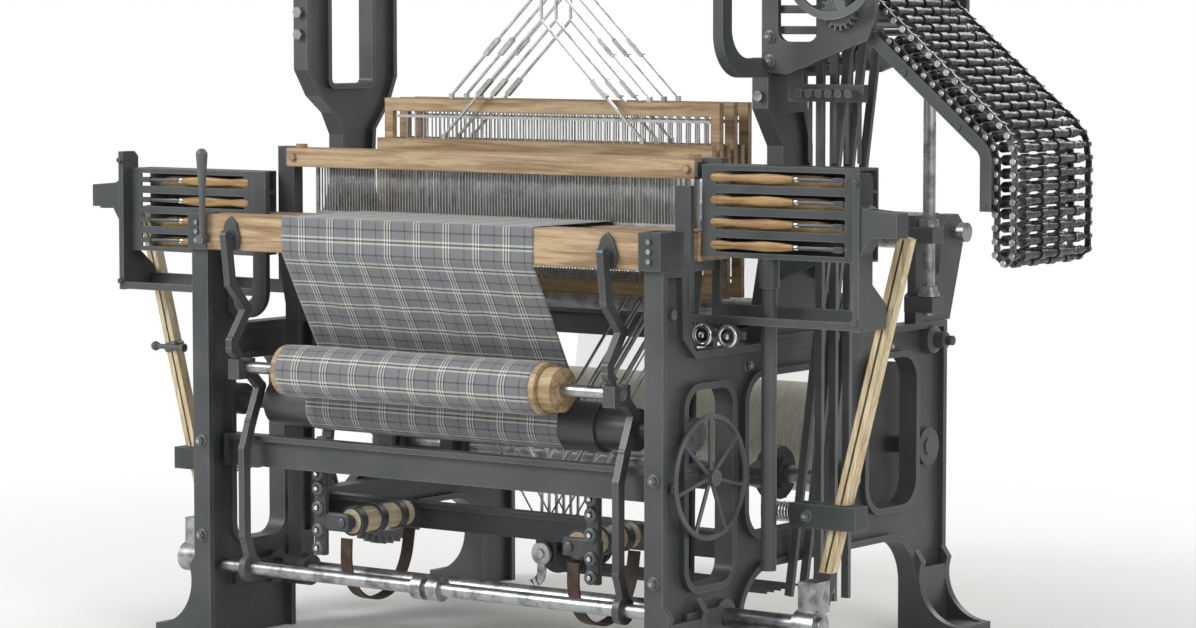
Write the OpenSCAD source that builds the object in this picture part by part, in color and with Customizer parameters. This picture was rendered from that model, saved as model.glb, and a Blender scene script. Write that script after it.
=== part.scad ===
/* [Frame] */
// Distance between the centres of the two side frames
frame_w = 1224; // [1180:4:1300]
// Height of the top of the breast beam above the floor
beam_top = 950; // [920:5:1000]
// Height of the side frames' top rail
rail_top = 700; // [680:5:720]
// Width of the side frames' flanges
flange_w = 46; // [40:1:52]
// Thickness of the side frames' web
web_t = 14; // [10:1:20]
// Width of the rim flange round the side frames
rim_t = 14; // [10:1:18]
// Height of the top of the arch stands
stand_top = 1690; // [1660:5:1740]
// Radius of the four floor bolt holes
foot_hole_r = 9; // [6:0.5:11]

/* [Shafts] */
// Diameter of the crank shaft
crank_d = 44; // [36:1:50]
// Throw of the cranks
throw = 40; // [36:1:44]
// Diameter of the cam shaft
cam_shaft_d = 40; // [34:1:46]
// Diameter of the rocker shaft under the lay
rocker_d = 40; // [34:1:46]
// Diameter of the front tie shaft
tie_d = 30; // [24:1:34]
// Radial clearance of a shaft in its bearing
run_fit = 0.08; // [0.05:0.01:0.1]
// Teeth of the crank gear, half those of the cam gear
crank_teeth = 30; // [24:2:36]

/* [Rolls] */
// Diameter of the cloth roll with its cloth
cloth_roll_d = 110; // [80:2:120]
// Diameter of the take-up roll
take_up_d = 104; // [90:2:110]
// Diameter of the whip roll
whip_d = 84; // [70:2:96]
// Diameter of the yarn on the warp beam
yarn_d = 250; // [180:5:300]
// Diameter of the warp beam's flanges
beam_flange_d = 370; // [340:5:380]
// Width of the cloth
cloth_w = 688; // [592:16:752]

/* [Lay and shuttle boxes] */
// Height of one shuttle box cell
cell_h = 46; // [42:1:48]
// Inside length of a shuttle box
box_len = 370; // [340:5:380]
// Depth of a shuttle box, front to back
box_d = 72; // [64:1:76]
// Wall of a shuttle box's shelves
shelf_t = 5; // [3:0.5:7]
// Distance between the reed's wires
dent = 8; // [8:1:10]
// Thickness of a reed wire
wire_t = 1.6; // [1:0.1:2]
// Height of the reed between its ribs
reed_h = 92; // [84:2:100]

/* [Harness] */
// Distance between two harness frames
harness_pitch = 27; // [25:0.5:30]
// Lift of a harness frame
lift = 90; // [70:5:95]
// Width of a harness frame
harness_w = 920; // [880:8:936]
// Height of a harness frame
harness_h = 330; // [300:5:350]
// Diameter of a harness wire
cord_d = 5; // [4:0.5:6]

/* [Head motion] */
// Distance between two bars of the pattern chain
bar_pitch = 27; // [25:1:34]
// Diameter of a bar of the pattern chain
bar_d = 10; // [8:1:14]
// Diameter of a roller on the pattern chain
roller_d = 22; // [18:1:24]
// Diameter of the upright shaft
upright_d = 28; // [24:1:32]

/* [Hidden] */
$fn = 48;
fx = frame_w / 2;
fin = fx - flange_w / 2;
fout = fx + flange_w / 2;
gap = 0.3;

// Depths and heights of the side frame
front_y = -590;
post_d = 92;
rear_y = 526;
rear_d = 130;
post_top = beam_top - 80;
arm_back_y = front_y + post_d - 10;
arch_y0 = -300;
arch_h = 225;

// Lay
lay_y = -360;
rocker_z = 140;
race_z = beam_top - 8;
sword_x = fx - 92;
sword_w = 40;
board_y0 = lay_y - 60;
board_y1 = lay_y + 58;
board_h = 62;
reed_y = lay_y + 33;
rib_t = 10;
rail_z0 = race_z + 12 + reed_h;
rail_h = 42;
rail_x = fx - 57;
box_y0 = lay_y - 50;
box_x0 = fx - 6;
box_x1 = box_x0 + box_len + 2 * shelf_t;
end_w = 14;
end_z0 = race_z - 187;
end_z1 = race_z + 130;
cells = 4;
level_left = 2;
level_right = 1;

// Crank, cams and pitman
crank_y = 120;
crank_z = 740;
cam_z = 380;
gear_t = 26;
gear_x = -fout - 10;
pitman_x = sword_x + sword_w / 2 + 2 * gap + 1;
pitman_t = 14;
crank_pin_d = 36;
lug_d = 44;

// Rolls
cloth_roll_y = -570;
cloth_roll_z = 614;
take_up_y = -470;
take_up_z = 530;
stand_x = fin - 82;
warp_y = 450;
warp_z = 420;
whip_y = 560;
whip_z = race_z - 10 - whip_d / 2 + 6;
cloth_x0 = -cloth_w / 2 - 24;
cloth_t = 1.2;

// Harness
harness_y = -150;
harness_n = 6;
harness_top = 1107;
bar_h = 30;
harness_t = 14;
stile_w = 24;
hook_x = 272;
apex_h = 266;
sheave_r = 45;
wire_z = 1620;
heddle_w = 2.4;
function raised(k) = (k % 2 == 1) ? lift : 0;
low_y = harness_y - 44;
function hy(k) = harness_y + k * harness_pitch;

// Jacks
jack_x = fout + 92;
jack_z = 890;
jack_w = 18;
jack_t = 10;
jack_low = 2 * jack_z - wire_z;
// The hook of a jack passes this far below the jack's wire
hook_drop = 30;

// Hand wheel
wheel_y = -440;
wheel_z = 440;
wheel_x = fout + 14;

// Head
head_x0 = fout + 4;
head_x1 = fout + 265;
chain_y0 = -220;
chain_y1 = 100;
trough_w = 16;
tie_y = -550;
tie_z = 166;
stick_y = box_y0 + box_d + 32;
stick_t = 24;
stick_px = 840;
stick_pz = 205;
stick_lean = 14.8;
up_y = 400;

// Rounded window with straight sides and arcs of radius r
module window(y0, y1, z0, z1, r) {
    translate([y0 + r, z0]) square([y1 - y0 - 2 * r, z1 - z0]);
    translate([y0, z0 + r]) square([y1 - y0, z1 - z0 - 2 * r]);
    for (y = [y0 + r, y1 - r], z = [z0 + r, z1 - r]) translate([y, z]) circle(r);
}
// Stands a YZ drawing up as a plate centred on x
module plate_yz(x, t) {
    translate([x - t / 2, 0, 0]) rotate([90, 0, 90]) linear_extrude(t) children();
}
// Stands an XZ drawing up as a plate centred on y
module plate_xz(y, t) {
    translate([0, y + t / 2, 0]) rotate([90, 0, 0]) linear_extrude(t) children();
}
module rod_x(x0, x1, y, z, d) {
    translate([x0, y, z]) rotate([0, 90, 0]) cylinder(d = d, h = x1 - x0);
}
module rod_y(y0, y1, x, z, d) {
    translate([x, y0, z]) rotate([-90, 0, 0]) cylinder(d = d, h = y1 - y0);
}
// Straight bar of round section between two points of the XZ plane at y
// Flat bar between two points of a plane, with round ends
module link_2d(a, b, w) {
    len = norm(b - a);
    translate(a) rotate(atan2(b[1] - a[1], b[0] - a[0])) translate([0, -w / 2]) square([len, w]);
    for (p = [a, b]) translate(p) circle(d = w);
}
// Bent flat bar through several points, with a knuckle at each point that stands out by rim in diameter
module strip_2d(pts, w, rim) {
    for (i = [0:len(pts) - 2]) {
        run = pts[i + 1] - pts[i];
        translate(pts[i]) rotate(atan2(run[1], run[0])) translate([0, -w / 2]) square([norm(run), w]);
    }
    for (p = pts) translate(p) circle(d = w + rim);
}
// Spur gear drawing: straight-flanked teeth on a root circle, spokes by ring and arms
module gear_2d(teeth, pitch_r, shift = 0) {
    m = 2 * pitch_r / teeth;
    root = pitch_r - 1.25 * m;
    circle(root);
    for (i = [0:teeth - 1]) rotate((i + shift) * 360 / teeth)
        polygon([[root - m, -0.42 * m * 1.5], [pitch_r + m, -0.2 * m * 1.5],
            [pitch_r + m, 0.2 * m * 1.5], [root - m, 0.42 * m * 1.5]]);
}
module spoke_holes(r0, r1, n, arm) {
    difference() {
        circle(r1);
        circle(r0);
        for (i = [0:n - 1]) rotate(i * 360 / n) translate([0, -arm / 2]) square([r1 + 1, arm]);
    }
}

// Side frame outline in the YZ plane, drawn t inside its edge
module frame_outline(t) {
    polygon([[front_y + t, 0], [front_y + t, post_top - t], [arm_back_y - t, post_top - t],
        [arm_back_y + 4 - t, rail_top + 44 - t], [arm_back_y + 36, rail_top - t],
        [rear_y - t, rail_top - t], [rear_y - t, 0]]);
}
module frame_windows(g) {
    window(arch_y0 - g, rear_y - rear_d + g, -200, arch_h + g, 110 + g);
    window(front_y + post_d - g, arch_y0 - 36 + g, 215 - g, 620 + g, 40 + g);
    window(arch_y0 + 24 - g, crank_y - 70 + g, 300 - g, 630 + g, 56 + g);
    window(crank_y + 76 - g, rear_y - rear_d + g, 300 - g, 630 + g, 56 + g);
}
// Foot that flares outwards from the post, with its bolt hole
module foot(y0, y1, hole_y) {
    toe = 120;
    rise = 190;
    pad = 26;
    r = 104;
    difference() {
        union() {
            translate([0, y0, 0]) cube([toe, y1 - y0, pad]);
            for (y = [y0, y1 - 18]) translate([0, y + 18, 0]) rotate([90, 0, 0]) linear_extrude(18)
                difference() {
                polygon([[0, 0], [toe - 6, 0], [toe - 6, pad], [0, rise]]);
                translate([r + 12, pad + r]) circle(r);
            }
            translate([0, y0, 0]) cube([12, y1 - y0, rise - 40]);
        }
        translate([toe - 24, hole_y, -1]) cylinder(r = foot_hole_r, h = rise);
    }
}
module side_frame(s) {
    pocket = (flange_w - web_t) / 2;
    color("dimgray") mirror([s < 0 ? 1 : 0, 0, 0]) {
        difference() {
            union() {
                difference() {
                    plate_yz(fx, flange_w) difference() {
                        frame_outline(0);
                        frame_windows(0);
                    }
                    for (x = [fin + pocket / 2 - 0.5, fout - pocket / 2 + 0.5])
                        plate_yz(x, pocket + 1) difference() {
                            frame_outline(rim_t);
                            frame_windows(rim_t);
                        }
                }
                rod_x(fin, fout, crank_y, crank_z, crank_d + 44);
                translate([fin, crank_y - 46, rail_top - 60])
                    cube([flange_w, 92, crank_z - rail_top + 60]);
                rod_x(fin, fout, crank_y, cam_z, cam_shaft_d + 40);
                rod_x(fin, fout, lay_y, rocker_z, rocker_d + 34);
                translate([fin, front_y + post_d - 4, rocker_z - 24])
                    cube([flange_w, lay_y - front_y - post_d, 48]);
                rod_x(fin, fout, take_up_y, take_up_z, 70);
                translate([fin, front_y + post_d - 4, take_up_z - 26]) cube([flange_w, 60, 52]);
                rod_x(fin, fout, warp_y, warp_z, 84);
                if (s > 0) {
                    rod_x(fin, fout, wheel_y, wheel_z, 50);
                    translate([fin, front_y + post_d - 4, wheel_z - 12])
                        cube([flange_w, wheel_y - front_y - post_d, 24]);
                }
            }
            if (s > 0) rod_x(fin - 1, fout + 1, wheel_y, wheel_z, 20 + 2 * run_fit);
            rod_x(fin - 1, fout + 1, crank_y, crank_z, crank_d + 2 * run_fit);
            rod_x(fin - 1, fout + 1, crank_y, cam_z, cam_shaft_d + 2 * run_fit);
            rod_x(fin - 1, fout + 1, lay_y, rocker_z, rocker_d + 2 * run_fit);
            rod_x(fin - 1, fout + 1, take_up_y, take_up_z, 36 + 2 * run_fit);
            rod_x(fin - 1, fout + 1, warp_y, warp_z, 40 + 2 * run_fit);
        }
        translate([fout - 2, 0, 0]) {
            foot(front_y, front_y + post_d + 50, -500);
            foot(rear_y - rear_d, rear_y, 500);
        }
    }
}
module side_frame_left() side_frame(-1);
module side_frame_right() side_frame(1);

module breast_beam() {
    z0 = beam_top - 79;
    color("tan") translate([-fx + 30, front_y - 10, z0]) cube([frame_w - 60, 70, 79 - cloth_t - gap]);
    color("dimgray") for (s = [-1, 1]) translate([s * (fx - 3) - 27, front_y - 12, z0])
        difference() {
            cube([54, 84, 78]);
            translate([s < 0 ? 27 : -1, 2, -1]) cube([28, 70, 90]);
        }
}
module girt(y, z, h) {
    t = 12;
    color("dimgray") {
        translate([-fin, y - t / 2, z - h / 2]) cube([2 * fin, t, h]);
        translate([-fin, y - 18, z + h / 2 - t]) cube([2 * fin, 36, t]);
        for (s = [-1, 1]) translate([s * (fin - 6) - 6, y - 26, z - h / 2]) cube([12, 44, h]);
    }
}
// Arch stand drawing in the YZ plane: a stem that widens into a fork
module stand_outline(t) {
    polygon([[-230 + t, rail_top + t], [-215 + t, rail_top + 40], [-122 + t, 1000], [-122 + t, 1110],
        [-150 + t, 1160], [-205 + t, 1200], [-245 + t, 1260], [-245 + t, stand_top - t],
        [78 - t, stand_top - t], [78 - t, 1240], [50 - t, 1180], [0 - t, 1120], [-6 - t, 1000],
        [62 - t, rail_top + 40], [74 - t, rail_top + t]]);
}
module stand_gap(g) window(-157 - g, -13 + g, 1227 - g, stand_top - 40 + g, 12 + g);
module arch_stand_left() {
    w = 40;
    color("dimgray") difference() {
        plate_yz(-fx, w) difference() {
            stand_outline(0);
            stand_gap(0);
        }
        for (s = [-1, 1]) plate_yz(-fx + s * 17, 20) difference() {
            stand_outline(12);
            stand_gap(12);
        }
    }
}
module arch_stand_right() {
    w = 40;
    color("dimgray") {
        difference() {
            plate_yz(fx, w) polygon([[-230, rail_top], [-215, rail_top + 40], [-148, 1000], [-148, 1110],
                [-205, 1190], [-205, 1296], [-52, 1296], [-52, 1190], [-32, 1110], [-32, 1000],
                [62, rail_top + 40], [74, rail_top]]);
            for (s = [-1, 1]) plate_yz(fx + s * 17, 20)
                polygon([[-218, rail_top + 12], [-205, rail_top + 40],
                [-136, 1000], [-136, 1110], [-190, 1180], [-66, 1180], [-44, 1110], [-44, 1000],
                [50, rail_top + 40], [60, rail_top + 12]]);
        }
        // Two arms that hold the rod on which the jacks rock
        y0 = hy(0) - 13;
        y1 = hy(harness_n - 1) + 14;
        for (y = [y0, y1]) plate_xz(y, 12) polygon([[fx + 4, jack_z - 70], [jack_x + 16, jack_z - 18],
            [jack_x + 16, jack_z + 16], [fx + 4, jack_z + 20]]);
        rod_y(y0 - 10, y1 + 10, jack_x, jack_z, 16);
    }
}
// Grooved sheave whose axis runs along y, sized so that the wire's centre runs at radius r
module sheave(x, y, z, r) {
    core = r - cord_d / 2 - gap;
    translate([x, y, z]) rotate([90, 0, 0]) rotate_extrude()
        polygon([[4, -6], [r + 5, -6], [r + 5, -4.5], [core, -cord_d / 2 - 0.6], [core, cord_d / 2 + 0.6],
            [r + 5, 4.5], [r + 5, 6], [4, 6]]);
}
module sheave_block(x, z, r, y0, y1, z_rail) {
    for (y = [y0, y1]) translate([x - 25, y - 5, min(z - 20, z_rail)])
        cube([50, 10, abs(z_rail - z) + 20]);
    rod_y(y0 - 12, y1 + 12, x, z, 16);
    for (k = [0:harness_n - 1]) sheave(x, hy(k), z, r);
}
module arch_beam() {
    w = 26;
    h = 46;
    end_x = fout + 20;
    color("dimgray") {
        for (y = [-208, 22]) translate([-fx - 24, y, stand_top]) cube([end_x + fx + 24, w, h]);
        for (x = [-fx - 14, 31, end_x - 40]) translate([x, -208, stand_top + 8]) cube([28, 230 + w, 20]);
        sheave_block(sheave_r, wire_z - sheave_r, sheave_r, -190, 34, stand_top);
    }
    color("silver") for (k = [0:harness_n - 1]) rod_x(sheave_r, jack_x - 120, hy(k), wire_z, cord_d);
}
module girts() {
    girt(front_y + post_d - 18, 424, 70);
    girt(rear_y - rear_d + 34, 660, 64);
    girt(low_y, 262, 60);
    color("dimgray") sheave_block(sheave_r, jack_low + sheave_r, sheave_r, low_y, 12, 262);
    color("silver") for (k = [0:harness_n - 1]) rod_x(sheave_r, jack_x - 130, hy(k), jack_low, cord_d);
}

// Head: a rounded cradle casting and the two plates that carry its shafts
gear_cx = fout + 195;
gear_cz = 1487;
drum_x = fout + 206;
drum_z = 1395;
drum_r = 46;
head_y0 = chain_y0 - 22;
head_y1 = chain_y1 + 22;
module head_frame() {
    t = 24;
    x = fx + 20 + t / 2;
    color("dimgray") {
        plate_yz(x, t) difference() {
            window(-410, 150, 1256, stand_top, 90);
            window(-376, 116, 1296, stand_top - 40, 62);
            translate([-390, 1500]) circle(7);
        }
        for (y = [head_y0, head_y1]) plate_xz(y, 12) difference() {
            polygon([[x, 1270], [x + 60, 1262], [drum_x + 60, drum_z - 60], [head_x1 + 20, drum_z - 20],
                [head_x1 + 20, drum_z + 30],
                [gear_cx + 50, gear_cz + 50], [x + 40, stand_top - 20], [x, stand_top - 20]]);
            window(x + 40, drum_x - 60, 1330, 1600, 24);
            for (p = [[drum_x, drum_z], [gear_cx, gear_cz]]) translate(p)
                circle(d = upright_d + 2 * run_fit);
        }
        translate([head_x0 + 18, head_y0, 1266]) cube([38, head_y1 - head_y0, 14]);
    }
    // Comb under the head and its guide rods
    color("silver") {
        translate([head_x0 + 80, -210, 1206]) cube([150, 16, 36]);
        for (i = [0:4]) translate([head_x0 + 96 + i * 30, -202, 1080]) cylinder(d = 9, h = 130);
        for (i = [0:5]) rod_y(-240, -209.9, head_x0 + 90 + i * 24, 1224, 18);
        translate([head_x0 + 46, -210, 1206]) cube([36, 16, 66]);
    }
}
// Pattern chain path in the XZ plane, by length s: round the drum, down the trough, round the
// bend, straight down, round the bottom and back up under the trough
run_r = drum_r + bar_d / 2 + gap;
slope = 40;
slope_len = 415;
bend_r = 96;
drop_len = 185;
turn_r = 20;
wrap_a0 = 95;
wrap_a1 = 90 - slope;
wrap_len = run_r * (wrap_a0 - wrap_a1) * PI / 180;
bend_len = bend_r * (90 - slope) * PI / 180;
turn_len = turn_r * PI;
back_bend_r = bend_r - 2 * turn_r;
back_len = back_bend_r * (90 - slope) * PI / 180;
t1 = [drum_x + run_r * cos(wrap_a1), drum_z + run_r * sin(wrap_a1)];
t2 = t1 + slope_len * [cos(slope), -sin(slope)];
bc = t2 - bend_r * [cos(wrap_a1), sin(wrap_a1)];
t3 = bc + [bend_r, 0];
t4 = t3 - [0, drop_len];
s1 = wrap_len;
s2 = s1 + slope_len;
s3 = s2 + bend_len;
s4 = s3 + drop_len;
s5 = s4 + turn_len;
s6 = s5 + drop_len;
s7 = s6 + back_len;
s8 = s7 + slope_len - 90;
function polar(r, a) = [r * cos(a), r * sin(a)];
function chain_at(s) =
    s < s1 ? [drum_x, drum_z] + polar(run_r, wrap_a0 - (wrap_a0 - wrap_a1) * s / s1) :
    s < s2 ? t1 + (s - s1) * [cos(slope), -sin(slope)] :
    s < s3 ? bc + polar(bend_r, wrap_a1 * (s3 - s) / (s3 - s2)) :
    s < s4 ? t3 - [0, s - s3] :
    s < s5 ? t4 - [turn_r, 0] + polar(turn_r, -180 * (s - s4) / turn_len) :
    s < s6 ? t4 - [2 * turn_r, 0] + [0, s - s5] :
    s < s7 ? bc + polar(back_bend_r, wrap_a1 * (s - s6) / back_len) :
    bc + polar(back_bend_r, wrap_a1) - (s - s7) * [cos(slope), -sin(slope)];
// Each stretch of chain_run bars is one piece, and its last links turn freely on the next bar
chain_run = 6;
module pattern_chain() {
    n = floor(s8 / bar_pitch);
    plate = 4;
    color("slategray") for (i = [0:n]) {
        p = chain_at(i * bar_pitch);
        q = chain_at(min(i + 1, n) * bar_pitch);
        rod_y(chain_y0, chain_y1, p[0], p[1], bar_d);
        shift = (i % 2) * (plate + gap);
        if (i < n) for (y = [chain_y0 + 6 + shift, chain_y1 - 6 - shift]) plate_xz(y, plate)
            difference() {
            strip_2d([p, q], bar_d + 3, 3 + i % 2);
            if (i % chain_run == chain_run - 1) translate(q) circle(d = bar_d + 2 * run_fit);
        }
        for (j = [0:3]) if ((i * 3 + j * 5 + (i % 4)) % 4 < 3)
            rod_y(chain_y0 + 40 + j * 70, chain_y0 + 62 + j * 70, p[0], p[1], roller_d);
    }
}
under = turn_r * 2 + bar_d / 2 + trough_w / 2 + gap;
trough_start = t1 - under * polar(1, wrap_a1) + 70 * [cos(slope), -sin(slope)];
// Trough: two flat guide bars on which the chain's return run lies, bent like the run
module chain_trough() {
    t = 8;
    color("dimgray") {
        for (y = [chain_y0 + 26, chain_y1 - 26]) plate_xz(y, t) {
            a = trough_start;
            b = t2 - under * polar(1, wrap_a1);
            c = t3 - [under, 0];
            link_2d(a, b, trough_w);
            link_2d(b, c, trough_w);
            link_2d(c, c - [0, drop_len * 0.55], trough_w);
        }
        rod_y(head_y0 + 6, head_y1 - 6, trough_start[0], trough_start[1], 14);
        for (f = [0.45, 0.85]) {
            p = t1 + f * (t2 - t1) - (under + 7) * polar(1, wrap_a1);
            rod_y(chain_y0 - 14, chain_y1 + 14, p[0], p[1], 12);
        }
        rod_y(chain_y0 - 14, chain_y1 + 14, t3[0] - under - 7, t3[1] - drop_len * 0.5, 12);
    }
}
head_teeth = 44;
drum_teeth = 18;
gear_vec = [gear_cx - drum_x, gear_cz - drum_z];
gear_ang = atan2(gear_vec[1], gear_vec[0]);
function head_pitch(n) = norm(gear_vec) * n / head_teeth;
module drum_shaft(x, z, extra = 0) {
    color("silver") rod_y(head_y0 - 22 - extra, head_y1 + 16, x, z, upright_d);
}
module chain_cylinder() {
    drum_shaft(drum_x, drum_z);
    color("dimgray") difference() {
        rod_y(chain_y0 + 20, chain_y1 - 20, drum_x, drum_z, 2 * (run_r - roller_d / 2 - 1));
        for (i = [0:11]) translate([drum_x, 0, drum_z]) rotate([0, i * 30, 0])
            rod_y(chain_y0, chain_y1, drum_r - 2, 0, bar_d + 8);
    }
    color("dimgray") plate_xz(head_y0 - 14 - gap, 14) translate([drum_x, drum_z])
        rotate(gear_ang) gear_2d(drum_teeth, head_pitch(drum_teeth));
}
module head_gear() {
    n = head_teeth - drum_teeth;
    drum_shaft(gear_cx, gear_cz, 24);
    color("dimgray") {
        plate_xz(head_y0 - 14 - gap, 14) translate([gear_cx, gear_cz]) rotate(gear_ang + 180)
            gear_2d(n, head_pitch(n), 0.5);
        plate_xz(head_y0 - 32, 12) translate([gear_cx, gear_cz]) difference() {
            circle(112);
            spoke_holes(26, 96, 5, 20);
        }
    }
}
// S-shaped cloth roll stand in the YZ plane, from the breast beam's face to the tie shaft
module cloth_stand(s) {
    x = s * stand_x;
    t = 16;
    w = 22;
    pts = [[-622, beam_top - 46], [-608, 800], [-556, 740], [-604, 672], [-604, 655], [-512, 566],
        [-545, 490],
        [-566, 430], [-566, 240], [tie_y, tie_z + 26]];
    color("dimgray") {
        difference() {
            union() {
                plate_yz(x, t) strip_2d(pts, w, 2);
                plate_yz(x, t) translate([tie_y, tie_z]) circle(d = tie_d + 30);
                plate_yz(x, t + 14) translate([cloth_roll_y - 30, cloth_roll_z - 26]) square([56, 44]);
            }
            rod_x(x - t, x + t, tie_y, tie_z, tie_d);
            rod_x(x - t, x + t, cloth_roll_y, cloth_roll_z, 26 + 2 * run_fit);
            plate_yz(x, 2 * t) translate([cloth_roll_y - 13 - run_fit, cloth_roll_z])
                square([26 + 2 * run_fit, 30]);
        }
        // Shield-shaped pad on the beam's face, with its bolt
        translate([x, front_y - 10 - gap, 0]) rotate([90, 0, 0]) linear_extrude(8)
            polygon([[-20, beam_top - 76], [20, beam_top - 76], [26, beam_top - 52], [14, beam_top - 16],
                [0, beam_top - 4], [-14, beam_top - 16], [-26, beam_top - 52]]);
        translate([x, front_y - 18 - gap, beam_top - 46]) rotate([90, 0, 0])
            cylinder(d = 18, h = 7, $fn = 6);
    }
}
module cloth_stand_left() cloth_stand(-1);
module cloth_stand_right() cloth_stand(1);
module whip_stand(s) {
    t = 34;
    color("dimgray") plate_yz(s * fx, t) difference() {
        polygon([[rear_y - rear_d + 10, rail_top], [rear_y + 20, rail_top], [whip_y + 42, whip_z - 30],
            [whip_y + 42, whip_z + 20], [whip_y + 20, whip_z + 40], [whip_y - 20, whip_z + 40],
                [whip_y - 42, whip_z + 20],
            [whip_y - 60, rail_top + 110], [rear_y - rear_d + 10, rail_top + 60]]);
        translate([whip_y, whip_z]) circle(d = 30 + 2 * run_fit);
        window(rear_y - rear_d + 62, rear_y - 26, rail_top + 26, rail_top + 74, 14);
    }
}
module whip_stand_left() whip_stand(-1);
up_x = fout + 26;
module whip_stand_right() {
    whip_stand(1);
    color("dimgray") for (z = [rail_top + 26, rail_top + 180]) difference() {
        translate([fx, up_y - 24, z]) cube([up_x + 24 - fx, 48, 34]);
        translate([up_x, up_y, z - 1]) cylinder(d = upright_d + 2 * run_fit, h = 40);
        translate([fx - 1, up_y + 36, z - 1]) cube([60, 20, 40]);
    }
    color("dimgray") translate([fx, up_y - 10, rail_top]) cube([22, 30, 240]);
}
module tie_shaft() {
    color("silver") rod_x(-fin, fin, tie_y, tie_z, tie_d);
    color("dimgray") for (x = [-22, 22]) rod_x(x - 14, x + 14, tie_y, tie_z, tie_d + 22);
}
module hex_web(s, y, z, d) {
    translate([s * (fx + web_t / 2 + 6) - 6, y, z]) rotate([0, 90, 0]) cylinder(d = d, h = 12, $fn = 6);
}
module frame_bolts() {
    post_y = front_y + post_d / 2;
    color("gray") for (s = [-1, 1]) {
        for (p = [[post_y, 424], [rear_y - rear_d / 2, 660], [low_y, 262], [post_y, 780]])
            hex_web(s, p[0], p[1], 24);
        for (z = [beam_top - 20, beam_top - 40, beam_top - 60])
            translate([s * (fx - 3), front_y - 12, z]) rotate([90, 0, 0])
                cylinder(d = 12, h = 5, $fn = 6);
        for (z = [1340, 1390]) if (s < 0)
            translate([-fx, -245, z]) rotate([90, 0, 0]) cylinder(d = 26, h = 12, $fn = 6);
    }
    for (z = [1216, 1276]) color("silver") translate([fx, -205, z]) rotate([90, 0, 0])
        cylinder(d = 22, h = 10, $fn = 24);
}
function tangent(p, c, r) = let (d = c - p, l = norm(d), a = atan2(d[1], d[0]) + asin(r / l),
    m = sqrt(l * l - r * r)) p + m * [cos(a), sin(a)];
roll_r = take_up_d / 2 + 0.5;
front_edge = [front_y - 10 - gap - cloth_t, beam_top - 79];
cloth_t0 = tangent(front_edge, [take_up_y, take_up_z], roll_r);
module cloth() {
    y1 = front_edge[0];
    slant = atan2(cloth_t0[1] - front_edge[1], cloth_t0[0] - front_edge[0]);
    color("lightblue") translate([cloth_x0, 0, 0]) rotate([90, 0, 90]) linear_extrude(cloth_w) {
        translate([y1, beam_top - cloth_t]) square([reed_y - 5 - y1, cloth_t]);
        translate([y1, beam_top - 79]) square([cloth_t, 79]);
        translate(front_edge) rotate(slant) square([norm(cloth_t0 - front_edge), cloth_t]);
        translate([take_up_y, take_up_z]) difference() {
            circle(roll_r + cloth_t);
            circle(roll_r);
            rotate(slant + 90) translate([-200, -100]) square([400, 100]);
            rotate(slant + 90) translate([-200, -1]) square([200, 200]);
        }
    }
}
dents = floor(cloth_w / dent);
dent_i0 = floor(cloth_x0 / dent);
eye_y = hy(2.5);
eye_z = harness_top - harness_h / 2;
module warp_yarns() {
    t = 1.2;
    wr = (whip_d / 2 + 0.3) / cos(9);
    br = yarn_d / 2 + 0.5;
    color("ivory") for (i = [0:dents - 1]) {
        z = eye_z + (i % 2) * lift;
        inner = concat([[reed_y - 4, beam_top - cloth_t], [eye_y, z]],
            [for (a = [90:-18:0]) [whip_y, whip_z] + polar(wr, a)],
            [[warp_y + br, warp_z]]);
        outer = concat([[reed_y - 4, beam_top - cloth_t + t], [eye_y, z + t]],
            [for (a = [90:-18:0]) [whip_y, whip_z] + polar(wr + t, a)], [[warp_y + br + t, warp_z]]);
        n = len(inner);
        translate([(dent_i0 + i + 0.5) * dent - 1.5, 0, 0]) rotate([90, 0, 90]) linear_extrude(3)
            polygon(concat(inner, [for (j = [n - 1:-1:0]) outer[j]]));
    }
}
// Crank shaft: straight ends, and a crank on each side with its pin in front at rest
module crank_shaft() {
    web_t2 = 18;
    pin_x0 = pitman_x - 2;
    pin_x1 = pitman_x + pitman_t + 2;
    color("silver") {
        rod_x(-pin_x0 + web_t2, pin_x0 - web_t2, crank_y, crank_z, crank_d);
        rod_x(pin_x1 + web_t2, fout + 12, crank_y, crank_z, crank_d);
        rod_x(gear_x - 128, -pin_x1 - web_t2, crank_y, crank_z, crank_d);
        for (s = [-1, 1]) {
            rod_x(s * (pin_x0 + pin_x1) / 2 - (pin_x1 - pin_x0) / 2,
                s * (pin_x0 + pin_x1) / 2 + (pin_x1 - pin_x0) / 2,
                crank_y - throw, crank_z, crank_pin_d);
            for (x = [pin_x0 - web_t2 / 2, pin_x1 + web_t2 / 2]) plate_yz(s * x, web_t2)
                link_2d([crank_y - throw, crank_z], [crank_y + 6, crank_z], crank_d + 12);
        }
    }
}
gear_m = 2 * (crank_z - cam_z) / (3 * crank_teeth);
module crank_gear() {
    color("dimgray") translate([gear_x - gear_t, crank_y, crank_z]) rotate([90, 0, 90])
        linear_extrude(gear_t)
        difference() {
            rotate(-90) gear_2d(crank_teeth, crank_teeth * gear_m / 2, 0.5);
            circle(d = crank_d - 2);
        }
}
module cam_gear() {
    pr = crank_teeth * gear_m;
    color("dimgray") translate([gear_x - gear_t, crank_y, cam_z]) rotate([90, 0, 90])
        linear_extrude(gear_t)
        difference() {
            rotate(90) gear_2d(2 * crank_teeth, pr);
            circle(d = cam_shaft_d - 2);
            spoke_holes(44, pr - 24, 5, 30);
        }
}
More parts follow.
